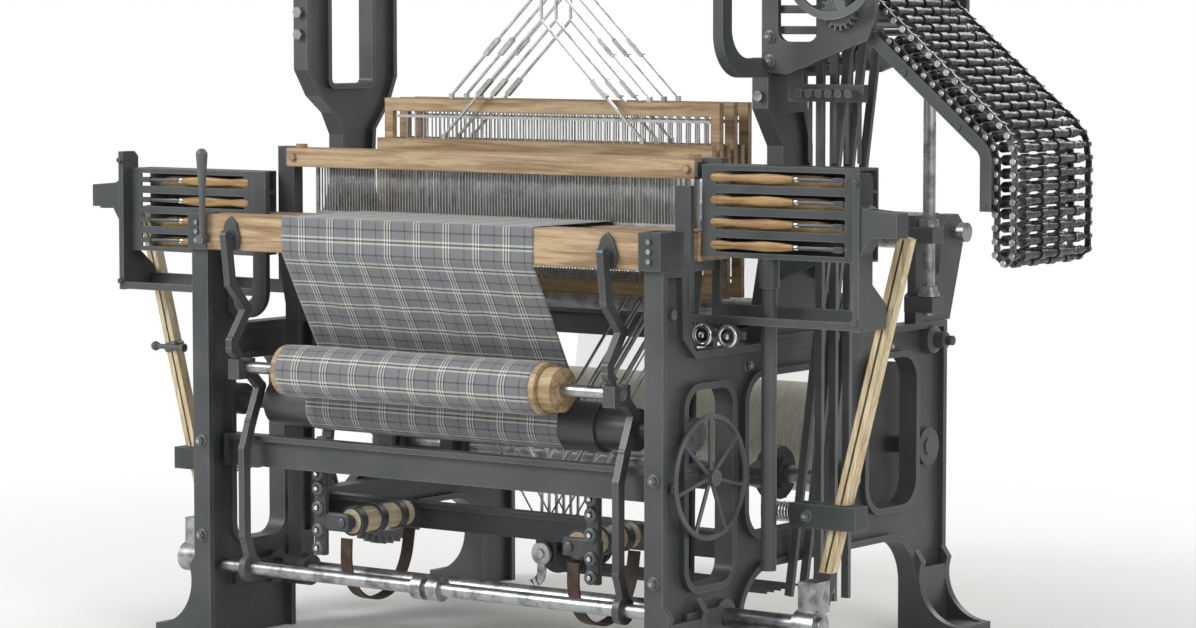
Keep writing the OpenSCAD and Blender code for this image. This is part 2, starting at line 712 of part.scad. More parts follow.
// Tight and loose driving pulleys on the left end of the crank shaft
module drive_pulley() {
    r = 150;
    rim = 9;
    face = 44;
    color("dimgray") for (i = [0, 1])
        translate([gear_x - gear_t - 8 - i * (face + 3) - face, crank_y, crank_z])
        rotate([90, 0, 90]) {
            linear_extrude(face) difference() {
                circle(r);
                circle(r - rim);
            }
            linear_extrude(face) difference() {
                circle(d = crank_d + 30);
                circle(d = crank_d - 2);
            }
            translate([0, 0, face / 2 - 7]) linear_extrude(14) difference() {
                circle(r - rim / 2);
                circle(d = crank_d + 20);
                spoke_holes(crank_d / 2 + 12, r - rim - 1, 6, 26);
            }
        }
}
module cam_shaft() {
    color("silver") rod_x(gear_x - gear_t - 14, fout + 14, crank_y, cam_z, cam_shaft_d);
}
// Picking cams: a round boss with one nose, one at each end, set half a turn apart
module pick_cams() {
    color("dimgray") for (s = [-1, 1]) {
        plate_yz(s * 440, 34) translate([crank_y, cam_z]) rotate(90 + s * 90) {
            difference() {
                union() {
                    circle(58);
                    link_2d([0, 0], [74, 0], 44);
                    polygon([[-20, 58], [74, 22], [74, -22], [-20, -58]]);
                }
                circle(d = cam_shaft_d - 2);
            }
        }
        difference() {
            rod_x(s * 440 - 34, s * 440 + 34, crank_y, cam_z, cam_shaft_d + 28);
            rod_x(s * 440 - 35, s * 440 + 35, crank_y, cam_z, cam_shaft_d - 2);
        }
    }
}
module rocker_shaft() {
    color("silver") rod_x(-stick_px - 34, stick_px + 34, lay_y, rocker_z, rocker_d);
    // Shoes that carry the picking sticks
    color("dimgray") for (s = [-1, 1]) {
        rod_x(s * stick_px - 26, s * stick_px + 26, lay_y, rocker_z, rocker_d + 26);
        translate([s * stick_px - 22, lay_y - 10, rocker_z + 26])
            cube([44, stick_y - stick_t / 2 - gap - lay_y + 10,
            stick_pz - rocker_z]);
        rod_y(lay_y, stick_y + stick_t / 2 + 12, s * stick_px, stick_pz, 20);
    }
}
module lay_swords() {
    d = 40;
    color("dimgray") for (s = [-1, 1]) {
        difference() {
            plate_yz(s * sword_x, sword_w)
                polygon([[lay_y - d / 2, rocker_z], [lay_y - d / 2 - 6, crank_z],
                [board_y0 + 4, race_z - board_h - gap], [board_y1 - 4, race_z - board_h - gap],
                    [lay_y + d / 2 + 10, crank_z],
                [lay_y + d / 2, rocker_z]]);
            for (e = [-1, 1]) plate_yz(s * sword_x + e * 15, 18)
                polygon([[lay_y - d / 2 + 8, rocker_z + 90],
                [lay_y - d / 2 + 4, crank_z - 40], [lay_y + d / 2, crank_z - 40],
                    [lay_y + d / 2 - 8, rocker_z + 90]]);
            rod_x(s * sword_x - 30, s * sword_x + 30, lay_y, rocker_z, rocker_d - 2);
        }
        difference() {
            rod_x(s * sword_x - 30, s * sword_x + 30, lay_y, rocker_z, rocker_d + 30);
            rod_x(s * sword_x - 31, s * sword_x + 31, lay_y, rocker_z, rocker_d - 2);
        }
        rod_x(s * sword_x - sword_w / 2, s * sword_x + sword_w / 2, lay_y + 30, crank_z, lug_d);
    }
}
// Wooden lay board with its race on top and the raised back that holds the reed
module lay_beam() {
    l = 2 * (fx - 10);
    color("burlywood") {
        translate([-l / 2, board_y0, race_z - board_h]) cube([l, board_y1 - board_y0, board_h - 4]);
        translate([-l / 2, board_y0 + 4, race_z - 4]) cube([l, box_y0 + box_d + 1 - board_y0 - 4, 4]);
    }
    color("gray") for (x = [-sword_x, 0, sword_x]) translate([x, board_y0, race_z - board_h / 2])
        rotate([90, 0, 0]) cylinder(d = 20, h = 6, $fn = 6);
}
module reed() {
    n = floor(2 * (rail_x - 70) / dent / 2);
    z0 = race_z - 4;
    z1 = rail_z0 + 20;
    color("silver") {
        for (z = [z0, z1 - rib_t]) translate([-(n + 1) * dent, reed_y - 3, z])
            cube([2 * (n + 1) * dent, 6, rib_t]);
        for (i = [-n:n]) translate([i * dent - wire_t / 2, reed_y - 2, z0 + 2])
            cube([wire_t, 4, z1 - z0 - 4]);
        for (s = [-1, 1]) translate([s * (n + 1.5) * dent - dent / 2, reed_y - 3, z0])
            cube([dent, 6, z1 - z0]);
    }
}
module hand_rail() {
    y0 = lay_y - 2;
    y1 = lay_y + 58;
    color("burlywood") difference() {
        translate([-rail_x, y0, rail_z0]) cube([2 * rail_x, y1 - y0, rail_h]);
        translate([-rail_x - 1, reed_y - 3 - gap, rail_z0 - 1])
            cube([2 * rail_x + 2, 6 + 2 * gap, 22 + gap]);
    }
    color("dimgray") for (s = [-1, 1]) {
        translate([s * (rail_x - 20), y0, rail_z0 + rail_h / 2]) rotate([90, 0, 0])
            cylinder(d = 18, h = 6, $fn = 6);
        translate([s * (rail_x - 20), lay_y + 28, rail_z0 + rail_h]) cylinder(d = 26, h = 8);
    }
}
// Lay end: the post beside the hand rail, the guide frame of the shuttle boxes and its outer plate
module lay_end(s) {
    inner = box_x0 - 6 - gap;
    outer = box_x1 + gap;
    bar_z = end_z0 + 12;
    y = board_y0 - 7;
    color("dimgray") mirror([s < 0 ? 1 : 0, 0, 0]) {
        translate([rail_x + gap, box_y0 + box_d + 2, race_z - 4])
            cube([fx - 10 - rail_x - gap, 30, rail_z0 + rail_h + 6 - race_z]);
        translate([rail_x + gap, lay_y - 2, rail_z0 + 6]) cube([6, 40, rail_h - 12]);
        // Curved inner bar in front, which turns outwards at its foot
        plate_xz(y, 14) {
            translate([inner - 44, bar_z]) square([38, end_z1 - 36 - bar_z]);
            translate([inner + 16, bar_z]) difference() {
                circle(60);
                circle(22);
                translate([-100, 0]) square([200, 100]);
                translate([0, -100]) square([100, 200]);
            }
            translate([inner + 16, bar_z - 60]) square([36, 38]);
            translate([inner - 8, bar_z - 10]) square([outer - inner + 10, 16]);
        }
        translate([inner - 44, y - 7, race_z - board_h - 20]) cube([38, board_y1 - 8 - y, 20]);
        // Outer plate, deepest at its foot, with the eye bracket on its outer side
        face = y - 7;
        deep = 52;
        back = box_y0 + box_d + 9;
        plate_yz(outer + end_w / 2, end_w) polygon([[face, end_z0], [back, end_z0], [back, end_z0 + 50],
            [face + deep, end_z0 + 92], [face + deep, end_z1 - 12], [face + deep - 12, end_z1],
                [face, end_z1]]);
        root = outer + end_w - 1;
        eye = [root + 60, face + deep / 2];
        difference() {
            plate_xz(eye[1], deep - 8) polygon([[root, race_z - 34], [root + 24, race_z + 2],
                [root + 86, race_z + 2],
                [root + 86, race_z + 52], [root + 14, race_z + 58], [root, race_z + 66]]);
            translate([eye[0], eye[1], race_z - 10]) cylinder(d = 16, h = 90);
        }
        translate([eye[0], eye[1], race_z - 2]) cylinder(d = 34, h = 5);
        for (z = [end_z0 + 20, end_z1 - 20]) translate([outer + end_w / 2, face, z])
            rotate([90, 0, 0]) cylinder(d = end_w - 1, h = 8, $fn = 6);
        // Rail behind the boxes that joins the plate to the lay
        translate([fx - 30, box_y0 + box_d + 1, end_z0 + 4]) cube([outer - fx + 32, 8, 30]);
        translate([fx - 30, box_y0 + box_d + 1, end_z0 + 4]) cube([20, 8, race_z - board_h - end_z0 - 4]);
    }
}
module lay_end_left() lay_end(-1);
module lay_end_right() {
    lay_end(1);
    ring_z = end_z0 - 20;
    plate_y = board_y0 - 14;
    // Two guide rings on a strip across the foot of the inner bar
    color("gray") for (dx = [0, 62]) translate([box_x0 + 30 + dx, plate_y - 6, ring_z])
        rotate([90, 0, 0]) {
        rotate_extrude() translate([15, 0]) square([8, 12]);
        cylinder(d = 12, h = 14);
        translate([-16, -2.5, 0]) cube([32, 5, 5]);
    }
    color("dimgray") translate([box_x0 - 4, plate_y - 6, ring_z - 7]) cube([130, 6, 14]);
}
module pitman(s) {
    l = crank_y - throw - lay_y - 30;
    x = s * (pitman_x + pitman_t / 2);
    y0 = lay_y + 30;
    color("peru") difference() {
        plate_yz(x, pitman_t) {
            link_2d([y0, crank_z], [y0 + l, crank_z], 30);
            translate([y0, crank_z]) circle(d = lug_d);
            translate([y0 + l, crank_z]) circle(d = crank_pin_d + 28);
            translate([y0 + l - 60, crank_z - 22]) square([60, 44]);
        }
        rod_x(x - 20, x + 20, y0 + l, crank_z, crank_pin_d + 2 * run_fit);
        rod_x(x - 20, x + 20, y0, crank_z, 20);
    }
}
module pitman_left() pitman(-1);
module pitman_right() pitman(1);

// Four-cell shuttle box with its lift rod; level is the cell that meets the race at rest
module shuttle_box(s, level) {
    z0 = race_z - level * cell_h - shelf_t;
    l = box_x1 - box_x0;
    rod_x0 = box_x0 + 152;
    rod_d = 32;
    color("dimgray") mirror([s < 0 ? 1 : 0, 0, 0]) {
        difference() {
            translate([box_x0, box_y0, z0]) cube([l, box_d, cells * cell_h + shelf_t]);
            for (i = [0:cells - 1]) {
                z = z0 + shelf_t + i * cell_h;
                translate([box_x0 - 1, box_y0 + shelf_t, z])
                    cube([l + 2, box_d - 2 * shelf_t, cell_h - shelf_t]);
                translate([box_x0 + 34, box_y0 - 1, z + 6])
                    cube([l - 68, shelf_t + 2, cell_h - shelf_t - 12]);
            }
        }
        // Swell rod in front of each cell
        for (i = [0:cells - 1]) rod_x(box_x0 + 30, box_x0 + l - 30, box_y0 + 3,
            z0 + shelf_t + i * cell_h + 20, 7);
        translate([rod_x0, box_y0 + 22, z0 - 640 + (level - 1) * 40])
            cylinder(d = rod_d, h = 641 - (level - 1) * 40);
        translate([rod_x0, box_y0 + 22, z0 - 60]) cylinder(d = rod_d + 10, h = 60);
    }
}
module box_left() shuttle_box(-1, level_left);
module box_right() shuttle_box(1, level_right);
// Shuttles: boat-shaped, lying in their cells
module shuttle(x, z) {
    l = 300;
    h = 28;
    d = 36;
    tip = 70;
    yc = box_y0 + box_d / 2;
    color("sandybrown") translate([x, yc, z]) intersection() {
        linear_extrude(h) polygon([[-l / 2, 0], [-l / 2 + tip, -d / 2], [l / 2 - tip, -d / 2], [l / 2, 0],
            [l / 2 - tip, d / 2], [-l / 2 + tip, d / 2]]);
        rotate([90, 0, 0]) translate([0, 0, -d]) linear_extrude(2 * d) polygon([[-l / 2, 0], [l / 2, 0],
            [l / 2, h * 0.6], [l / 2 - tip, h], [-l / 2 + tip, h], [-l / 2, h * 0.6]]);
    }
}
module shuttles(s, level, full) {
    xc = s * (box_x0 + (box_x1 - box_x0) / 2);
    for (i = full) shuttle(xc, race_z + (i - level) * cell_h + gap);
}
module shuttles_left() shuttles(-1, level_left, [0, 1, 3]);
module shuttles_right() shuttles(1, level_right, [1, 2, 3]);

// Picking stick with its lug strap and sweep stick
module stick(s) {
    l = 800;
    hole = 20 + 2 * run_fit;
    color("burlywood") mirror([s < 0 ? 1 : 0, 0, 0]) {
        difference() {
            translate([stick_px, 0, stick_pz]) rotate([0, stick_lean, 0])
                translate([-15, stick_y - stick_t / 2, -40])
                cube([30, stick_t, l]);
            rod_y(stick_y - 40, stick_y + 40, stick_px, stick_pz, hole);
        }
        translate([stick_px - 150, stick_y - 9, 352]) cube([150, 18, 24]);
    }
    color("saddlebrown") mirror([s < 0 ? 1 : 0, 0, 0]) difference() {
        translate([stick_px - 70, stick_y - 24, 336]) cube([160, 48, 50]);
        translate([stick_px - 200, stick_y - 10, 340]) cube([180, 20, 60]);
        translate([stick_px, 0, stick_pz]) rotate([0, stick_lean, 0])
            translate([-16, stick_y - stick_t / 2 - 1, -40])
            cube([32, stick_t + 2, l]);
    }
}
module stick_left() stick(-1);
module stick_right() stick(1);

// Harness frame k: four bars, heddles between them, and its wires up to the sheave and down
module harness(k) {
    top = harness_top + raised(k);
    bottom = top - harness_h;
    apex = top + apex_h;
    low = bottom - 400;
    y = hy(k);
    x1 = harness_w / 2;
    n = floor((x1 - stile_w - 10) / (3 * dent));
    color("burlywood") {
        for (z = [top - bar_h, bottom]) translate([-x1, y - harness_t / 2, z])
            cube([2 * x1, harness_t, bar_h]);
        for (s = [-1, 1]) translate([s * (x1 - stile_w / 2) - stile_w / 2, y - harness_t / 2, bottom])
            cube([stile_w, harness_t, harness_h]);
    }
    color("silver") {
        for (z = [top - bar_h - 14, bottom + bar_h + 8]) translate([-x1 + 4, y - 2, z])
            cube([2 * x1 - 8, 4, 6]);
        for (i = [-n:n]) translate([(3 * i + k % 3) * dent - heddle_w / 2, y - 1.5, bottom + 4])
            cube([heddle_w, 3, harness_h - 8]);
        for (s = [-1, 1]) {
            for (z = [top - 1, bottom - 11]) translate([s * hook_x - 5, y - 4, z]) cube([10, 8, 12]);
            plate_xz(y, cord_d) link_2d([s * hook_x, top + 8], [0, apex], cord_d);
            plate_xz(y, 2 * cord_d) link_2d([s * hook_x * 0.64, top + 8 + (apex_h - 8) * 0.36],
                [s * hook_x * 0.52, top + 8 + (apex_h - 8) * 0.48], 2.2 * cord_d);
            plate_xz(y, cord_d) link_2d([s * hook_x, bottom - 8], [0, low], cord_d);
        }
        plate_xz(y, cord_d) link_2d([0, apex], [0, wire_z - sheave_r], cord_d);
        plate_xz(y, cord_d) link_2d([0, low], [0, jack_low + sheave_r], cord_d);
    }
}
module harness_1() harness(0);
module harness_2() harness(1);
module harness_3() harness(2);
module harness_4() harness(3);
module harness_5() harness(4);
module harness_6() harness(5);

// Jack lever k, which leans outwards where its harness is raised
module jack(k) {
    arm = wire_z - jack_z;
    lean = raised(k) / arm * 180 / PI;
    y = hy(k);
    color("dimgray") {
        difference() {
            translate([jack_x, y, jack_z]) rotate([0, lean, 0])
                translate([-jack_w / 2, -jack_t / 2, -arm - 12])
                cube([jack_w, jack_t, 2 * arm + 24]);
            rod_y(y - 20, y + 20, jack_x, jack_z, 16 + 2 * run_fit);
        }
        translate([jack_x, y, jack_z]) rotate([0, lean, 0]) {
            translate([-106 - raised(k), -2, arm - hook_drop]) cube([100 + raised(k), 4, 6]);
            translate([-jack_w / 2 - 5, -jack_t / 2, 396]) cube([jack_w + 5, jack_t, 26]);
        }
    }
}
module jack_1() jack(0);
module jack_2() jack(1);
module jack_3() jack(2);
module jack_4() jack(3);
module jack_5() jack(4);
module jack_6() jack(5);

module take_up_roll() {
    l = 2 * fin - 240;
    color("gray") rod_x(-l / 2 - 20, l / 2 - 60, take_up_y, take_up_z, take_up_d);
    color("dimgray") rod_x(l / 2 - 60, l / 2 + 20, take_up_y, take_up_z, take_up_d - 14);
    color("silver") rod_x(-fout - 2, fout + 2, take_up_y, take_up_z, 36);
}
module hand_wheel() {
    r = 132;
    color("silver") {
        translate([wheel_x, wheel_y, wheel_z]) rotate([0, 90, 0]) rotate_extrude() translate([r - 7, 0])
            circle(6, $fn = 16);
        for (i = [0:6]) translate([wheel_x, wheel_y, wheel_z]) rotate([i * 360 / 7, 0, 0])
            cylinder(d = 9, h = r - 6, $fn = 16);
        rod_x(wheel_x - 12, wheel_x + 16, wheel_y, wheel_z, 34);
        rod_x(fin + 2, wheel_x, wheel_y, wheel_z, 20);
    }
}
module cloth_roll() {
    x0 = cloth_x0 - 12;
    x1 = cloth_x0 + cloth_w + 50;
    color("lightblue") rod_x(x0, x1 - 36, cloth_roll_y, cloth_roll_z, cloth_roll_d);
    color("burlywood") rod_x(x1 - 36, x1, cloth_roll_y, cloth_roll_z, cloth_roll_d - 16);
    color("silver") rod_x(-stand_x - 15, stand_x + 15, cloth_roll_y, cloth_roll_z, 26);
}
module warp_beam() {
    x = fin - 76;
    color("ivory") rod_x(-x, x, warp_y, warp_z, yarn_d);
    color("dimgray") for (s = [-1, 1])
        rod_x(s * x - 9 + s * 9, s * x + 9 + s * 9, warp_y, warp_z, beam_flange_d);
    color("silver") rod_x(-fout - 4, fout + 4, warp_y, warp_z, 40);
}
module whip_roll() {
    color("silver") {
        rod_x(-fin + 4, fin - 4, whip_y, whip_z, whip_d);
        rod_x(-fout - 14, fout + 14, whip_y, whip_z, 30);
    }
    color("dimgray") for (s = [-1, 1])
        rod_x(s * (fout + 22) - 8, s * (fout + 22) + 8, whip_y, whip_z, 44);
}
module upright_shaft() {
    top = 1540;
    color("silver") translate([up_x, up_y, rail_top + 20])
        cylinder(d = upright_d, h = top - rail_top - 20);
    color("dimgray") {
        translate([up_x, up_y, rail_top + 62]) cylinder(r1 = 26, r2 = 18, h = 22);
        translate([up_x, up_y, rail_top + 216]) cylinder(d = 44, h = 16);
        translate([up_x, up_y, top - 34]) cylinder(r1 = 20, r2 = 42, h = 24);
    }
}
module shipper_handle() {
    y = front_y - 24;
    handle_x = 7 - fin;
    color("dimgray") {
        translate([handle_x, y, beam_top - 60]) cylinder(d = 14, h = 180);
        translate([handle_x, y, beam_top + 60]) cylinder(d1 = 16, d2 = 26, h = 70);
        translate([handle_x, y, beam_top + 130]) sphere(d = 26);
        rod_y(y - 10, front_y - 12 - gap, handle_x, beam_top - 56, 20);
    }
}
side_frame_left();
side_frame_right();
breast_beam();
girts();
arch_stand_left();
arch_stand_right();
arch_beam();
head_frame();
chain_trough();
pattern_chain();
cloth_stand_left();
cloth_stand_right();
whip_stand_left();
whip_stand_right();
tie_shaft();
frame_bolts();
cloth();
warp_yarns();
crank_shaft();
crank_gear();
drive_pulley();
cam_shaft();
cam_gear();
pick_cams();
rocker_shaft();
lay_swords();
lay_beam();
hand_rail();
reed();
lay_end_left();
lay_end_right();
head_gear();
pitman_left();
pitman_right();
box_left();
box_right();
shuttles_left();
shuttles_right();
stick_left();
stick_right();
harness_1();
harness_2();
harness_3();
harness_4();
harness_5();
harness_6();
jack_1();
jack_2();
jack_3();
jack_4();
jack_5();
jack_6();
take_up_roll();
hand_wheel();
cloth_roll();
warp_beam();
whip_roll();
upright_shaft();
chain_cylinder();
shipper_handle();
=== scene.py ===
import math

import bpy
import numpy as np
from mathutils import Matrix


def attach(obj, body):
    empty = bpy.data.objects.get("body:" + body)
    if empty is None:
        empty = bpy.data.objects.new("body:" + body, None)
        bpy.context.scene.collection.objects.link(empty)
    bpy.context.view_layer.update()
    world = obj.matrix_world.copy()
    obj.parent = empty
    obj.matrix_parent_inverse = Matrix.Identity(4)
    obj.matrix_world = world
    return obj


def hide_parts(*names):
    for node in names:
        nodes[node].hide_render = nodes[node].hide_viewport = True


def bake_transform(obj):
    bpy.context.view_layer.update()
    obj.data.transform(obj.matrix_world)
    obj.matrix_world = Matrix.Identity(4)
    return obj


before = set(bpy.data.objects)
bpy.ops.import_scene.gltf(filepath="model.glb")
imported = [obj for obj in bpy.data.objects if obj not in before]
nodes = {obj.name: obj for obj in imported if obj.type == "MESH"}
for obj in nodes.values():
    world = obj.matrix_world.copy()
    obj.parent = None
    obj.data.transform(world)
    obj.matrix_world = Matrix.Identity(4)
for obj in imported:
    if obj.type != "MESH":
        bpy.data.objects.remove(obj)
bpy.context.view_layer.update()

print("power loom: frame loaded,", len(nodes), "nodes")

# Colours are written as sRGB hex and turned to linear here
def colour(code):
    v = [int(code[i:i + 2], 16) / 255 for i in (1, 3, 5)]
    return tuple([c / 12.92 if c <= 0.04045 else ((c + 0.055) / 1.055) ** 2.4 for c in v] + [1.0])


# The socket of that name that is switched on, or the one at that place
def socketOf(sockets, key):
    return sockets[key] if isinstance(key, int) else next(s for s in sockets if s.name == key and s.enabled)


# Adds one node: settings are its attributes, values its sockets, links {socket: node or (node, output)},
# stops the colours of a ramp as (place, hex code or grey), and feeds (shader, socket) what its first output
# goes into
def addNode(tree, kind, settings=None, values=None, links=None, stops=None, feeds=None):
    n = tree.nodes.new(kind)
    for key, value in (settings or {}).items():
        setattr(n, key, value)
    for key, value in (values or {}).items():
        socketOf(n.inputs, key).default_value = value
    for key, source in (links or {}).items():
        source, output = source if isinstance(source, tuple) else (source, None)
        out = socketOf(source.outputs, output) if output else next(o for o in source.outputs if o.enabled)
        tree.links.new(out, socketOf(n.inputs, key))
    for i, (place, code) in enumerate(stops or []):
        ramp = n.color_ramp.elements
        element = ramp[i] if i < 2 else ramp.new(place)
        element.position = place
        element.color = colour(code) if isinstance(code, str) else (code, code, code, 1.0)
    if feeds:
        tree.links.new(next(o for o in n.outputs if o.enabled), feeds[0].inputs[feeds[1]])
    return n


# A material with one shader, or a further shader in the material that into names
def newMaterial(name, into=None, **values):
    mat = into or bpy.data.materials.new(name)
    mat.use_nodes = True
    tree = mat.node_tree
    if into:
        shader = addNode(tree, "ShaderNodeBsdfPrincipled", {"name": "second"})
    else:
        shader = tree.nodes["Principled BSDF"]
    for key, value in values.items():
        shader.inputs[key.replace("_", " ")].default_value = value
    return mat, tree, shader


# Object coordinates with a cell of sizeMm millimetres, stretched by axis
def patternAt(tree, sizeMm, stretch=(1, 1, 1)):
    coords = addNode(tree, "ShaderNodeTexCoord")
    return addNode(tree, "ShaderNodeMapping", values={"Scale": [1000 / sizeMm * s for s in stretch]},
                   links={"Vector": (coords, "Object")})


# Share of a place that is near a sharp edge: one minus the dot product of the rounded and the true normal
def sharpEdgeShare(tree, radiusMm, low, high):
    soft = addNode(tree, "ShaderNodeBevel", {"samples": 4}, {"Radius": radiusMm / 1000})
    true = addNode(tree, "ShaderNodeNewGeometry")
    dot = addNode(tree, "ShaderNodeVectorMath", {"operation": "DOT_PRODUCT"},
                  links={0: soft, 1: (true, "Normal")})
    return addNode(tree, "ShaderNodeMapRange", values={"From Min": 1 - low, "From Max": 1 - high},
                   links={"Value": (dot, "Value")})


# One mesh object from arrays, at the origin, with its material and body. uv holds one pair per vertex
def addPiece(name, verts, faces, material, body, uv=None):
    verts = np.asarray(verts, float).reshape(-1, 3)
    mesh = bpy.data.meshes.new(name)
    mesh.from_pydata(verts.tolist(), [], faces.tolist() if isinstance(faces, np.ndarray) else faces)
    mesh.materials.append(material)
    mesh.polygons.foreach_set("use_smooth", [True] * len(mesh.polygons))
    if uv is not None:
        corner = np.zeros(len(mesh.loops), dtype=int)
        mesh.loops.foreach_get("vertex_index", corner)
        mesh.uv_layers.new(name="cloth").data.foreach_set("uv", np.asarray(uv, float)[corner].ravel())
    piece = bpy.data.objects.new(name, mesh)
    bpy.context.scene.collection.objects.link(piece)
    if body:
        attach(piece, body)
    return piece


# Quads of a grid of rows x columns points, joined round in rows or columns where asked
def gridFaces(rows, columns, closeRows=False, closeColumns=False):
    i, j = np.meshgrid(np.arange(rows if closeRows else rows - 1),
                       np.arange(columns if closeColumns else columns - 1), indexing="ij")
    i, j = i.ravel(), j.ravel()
    below, right = (i + 1) % rows, (j + 1) % columns
    quads = [i * columns + j, i * columns + right, below * columns + right, below * columns + j]
    return np.stack(quads, 1)


# Rings of points joined along each form, ends closed with a polygon: count x rows x columns points in, one
# piece out. The columns run right-handed about the direction of the rows, so the faces look outwards
def addSwept(name, rings, material, body, sharp=35):
    rings = np.asarray(rings, float)
    count, rows, columns, _ = rings.shape
    starts = np.arange(count)[:, None, None] * rows * columns
    walls = (gridFaces(rows, columns, closeColumns=True)[None] + starts).reshape(-1, 4)
    caps = np.stack([np.arange(columns)[::-1], np.arange(columns) + (rows - 1) * columns])
    faces = walls.tolist() + (caps[None] + starts).reshape(-1, columns).tolist()
    piece = addPiece(name, rings, faces, material, body)
    piece.data.set_sharp_from_angle(angle=math.radians(sharp))
    return piece


# Many straight or bent threads at once. Each thread is a small polygon carried along its own path: at path
# point m the ring stands in the plane across the run, at the cosine and sine of each corner's angle times
# the radius
def addThreads(name, paths, radius, material, body, sides=3):
    paths = np.asarray(paths, float)  # threads x points x 3
    run = np.gradient(paths, axis=1)
    run /= np.linalg.norm(run, axis=2, keepdims=True)
    side = np.cross(run, (1.0, 0.0, 0.0))
    alongX = np.linalg.norm(side, axis=2, keepdims=True) < 0.3
    side = np.where(alongX, np.cross(run, (0.0, 1.0, 0.0)), side)
    side /= np.linalg.norm(side, axis=2, keepdims=True)
    other = np.cross(run, side)
    turn = np.arange(sides) * 2 * np.pi / sides
    rings = (paths[:, :, None] + radius * (np.cos(turn)[:, None] * side[:, :, None]
                                           + np.sin(turn)[:, None] * other[:, :, None]))
    return addSwept(name, rings, material, body, sharp=100)  # no edge along a thread is sharp


# Turned forms: a profile of (place along the axis, radius) carried round the axis, the same at each place.
# flat squeezes the form across, and first is the angle of the first corner
def addTurned(name, places, axis, profile, material, body, sides=16, flat=1.0, first=0.0):
    axis = np.array(axis, float) / np.linalg.norm(axis)
    side = np.cross(axis, (0, 0, 1) if abs(axis[2]) < 0.9 else (1, 0, 0))
    side /= np.linalg.norm(side)
    along, radius = np.array(profile, float).T
    turn = first + np.arange(sides) * 2 * np.pi / sides
    ring = flat * np.cos(turn)[:, None] * side + np.sin(turn)[:, None] * np.cross(axis, side)
    rings = along[:, None, None] * axis + radius[:, None, None] * ring[None]
    return addSwept(name, np.array(places, float)[:, None, None] + rings[None], material, body)


# A flat strap or bar: a rectangle of width by thickness carried along a path, its width lying along across
def addStrap(name, path, across, width, thick, material, body, slotName=None):
    path = np.array(path, float)
    run = np.gradient(path, axis=0)
    run /= np.linalg.norm(run, axis=1, keepdims=True)
    across = np.array(across, float)
    up = np.cross(run, across)
    corners = [path + a * width / 2 * across + b * thick / 2 * up
               for a, b in ((-1, -1), (1, -1), (1, 1), (-1, 1))]
    piece = addSwept(name, np.stack(corners, 1)[None], material, body)
    edge = piece.modifiers.new("edges", "BEVEL")
    edge.width, edge.segments, edge.angle_limit = min(width, thick) * 0.2, 2, math.radians(40)
    return piece


# A block between two corners: its lower face carried straight up to its upper one, its edges rounded
def addBlock(name, low, high, material, body, edge=0.003):
    low, high = np.array(low, float), np.array(high, float)
    unit = np.array([[0, 0, 0], [1, 0, 0], [1, 1, 0], [0, 1, 0]], float)
    rings = np.stack([low + (high - low) * (unit + (0, 0, t)) for t in (0, 1)])
    piece = addSwept(name, rings[None], material, body)
    bevel = piece.modifiers.new("edges", "BEVEL")
    bevel.width, bevel.segments = edge, 2
    return piece


# A path with its corners rounded: straight runs cut back by the radius, but by less than half of a run, and
# joined by quadratic curves, one minus t and t squared being the weights of the two cuts
def roundedPath(points, radius, step):
    points = [np.asarray(p, float) for p in points]
    out = [points[0]]
    t = np.linspace(0, 1, 7)[:, None]
    for a, b, c in zip(points, points[1:], points[2:]):
        before, after = np.linalg.norm(a - b), np.linalg.norm(c - b)
        cut = min(radius, before / 2.1, after / 2.1)
        start, end = b + (a - b) / before * cut, b + (c - b) / after * cut
        out += list((1 - t) ** 2 * start + 2 * t * (1 - t) * b + t ** 2 * end)
    out = np.array(out + [points[-1]])
    length = np.concatenate([[0], np.cumsum(np.linalg.norm(np.diff(out, axis=0), axis=1))])
    at = np.linspace(0, length[-1], max(2, int(length[-1] / step) + 1))
    at = np.unique(np.concatenate([at, length]))
    return np.stack([np.interp(at, length, out[:, k]) for k in range(out.shape[1])], 1)


# Cast iron under black japan: a satin film over sandy metal, dusty in patches, worn bare along the edges and
# painted lighter there as a painted highlight
def japannedIron(name, into=None, tint="#34383a", edgeWornAndHighlightTone="#8b8d8e", dust="#4a4c4c"):
    mat, tree, shader = newMaterial(name, into, IOR=1.5)
    if not into:
        shader.inputs["Coat Weight"].default_value = 0.2
        shader.inputs["Coat Roughness"].default_value = 0.3
    skin = addNode(tree, "ShaderNodeTexNoise", None, {"Scale": 1.0, "Detail": 6.0, "Roughness": 0.62},
                   {"Vector": patternAt(tree, 5)})  # moulding sand leaves clumps of about 5 mm
    broad = addNode(tree, "ShaderNodeTexNoise", None, {"Scale": 1.0, "Detail": 3.0},
                    {"Vector": patternAt(tree, 160)})  # dust lies in patches of about 160 mm
    tone = addNode(tree, "ShaderNodeValToRGB", links={"Fac": broad}, stops=[(0.3, tint), (0.72, dust)])
    # Edges: worn to bare metal, and made lighter as a painted highlight
    wornAndHighlitEdges = sharpEdgeShare(tree, 3.5, 0.02, 0.2)
    patchyEdges = addNode(tree, "ShaderNodeValToRGB", links={"Fac": skin}, stops=[(0.38, 0.15), (0.6, 1.0)])
    # bare marks metal worn through at the edges and also the painted edge highlight; it lightens the colour
    # and raises Metallic
    bare = addNode(tree, "ShaderNodeMath", {"operation": "MULTIPLY"}, None, {0: wornAndHighlitEdges, 1: patchyEdges})
    addNode(tree, "ShaderNodeMix", {"data_type": "RGBA"}, {"B": colour(edgeWornAndHighlightTone)}, {"Factor": bare, "A": tone},
            feeds=(shader, "Base Color"))
    addNode(tree, "ShaderNodeMapRange", None, {"To Min": 0.36, "To Max": 0.56}, {"Value": broad},
            feeds=(shader, "Roughness"))
    addNode(tree, "ShaderNodeMath", {"operation": "MULTIPLY"}, {1: 0.8}, {0: bare},
            feeds=(shader, "Metallic"))
    addNode(tree, "ShaderNodeBump", None, {"Strength": 0.35, "Distance": 0.0005}, {"Height": skin},
            feeds=(shader, "Normal"))
    return mat


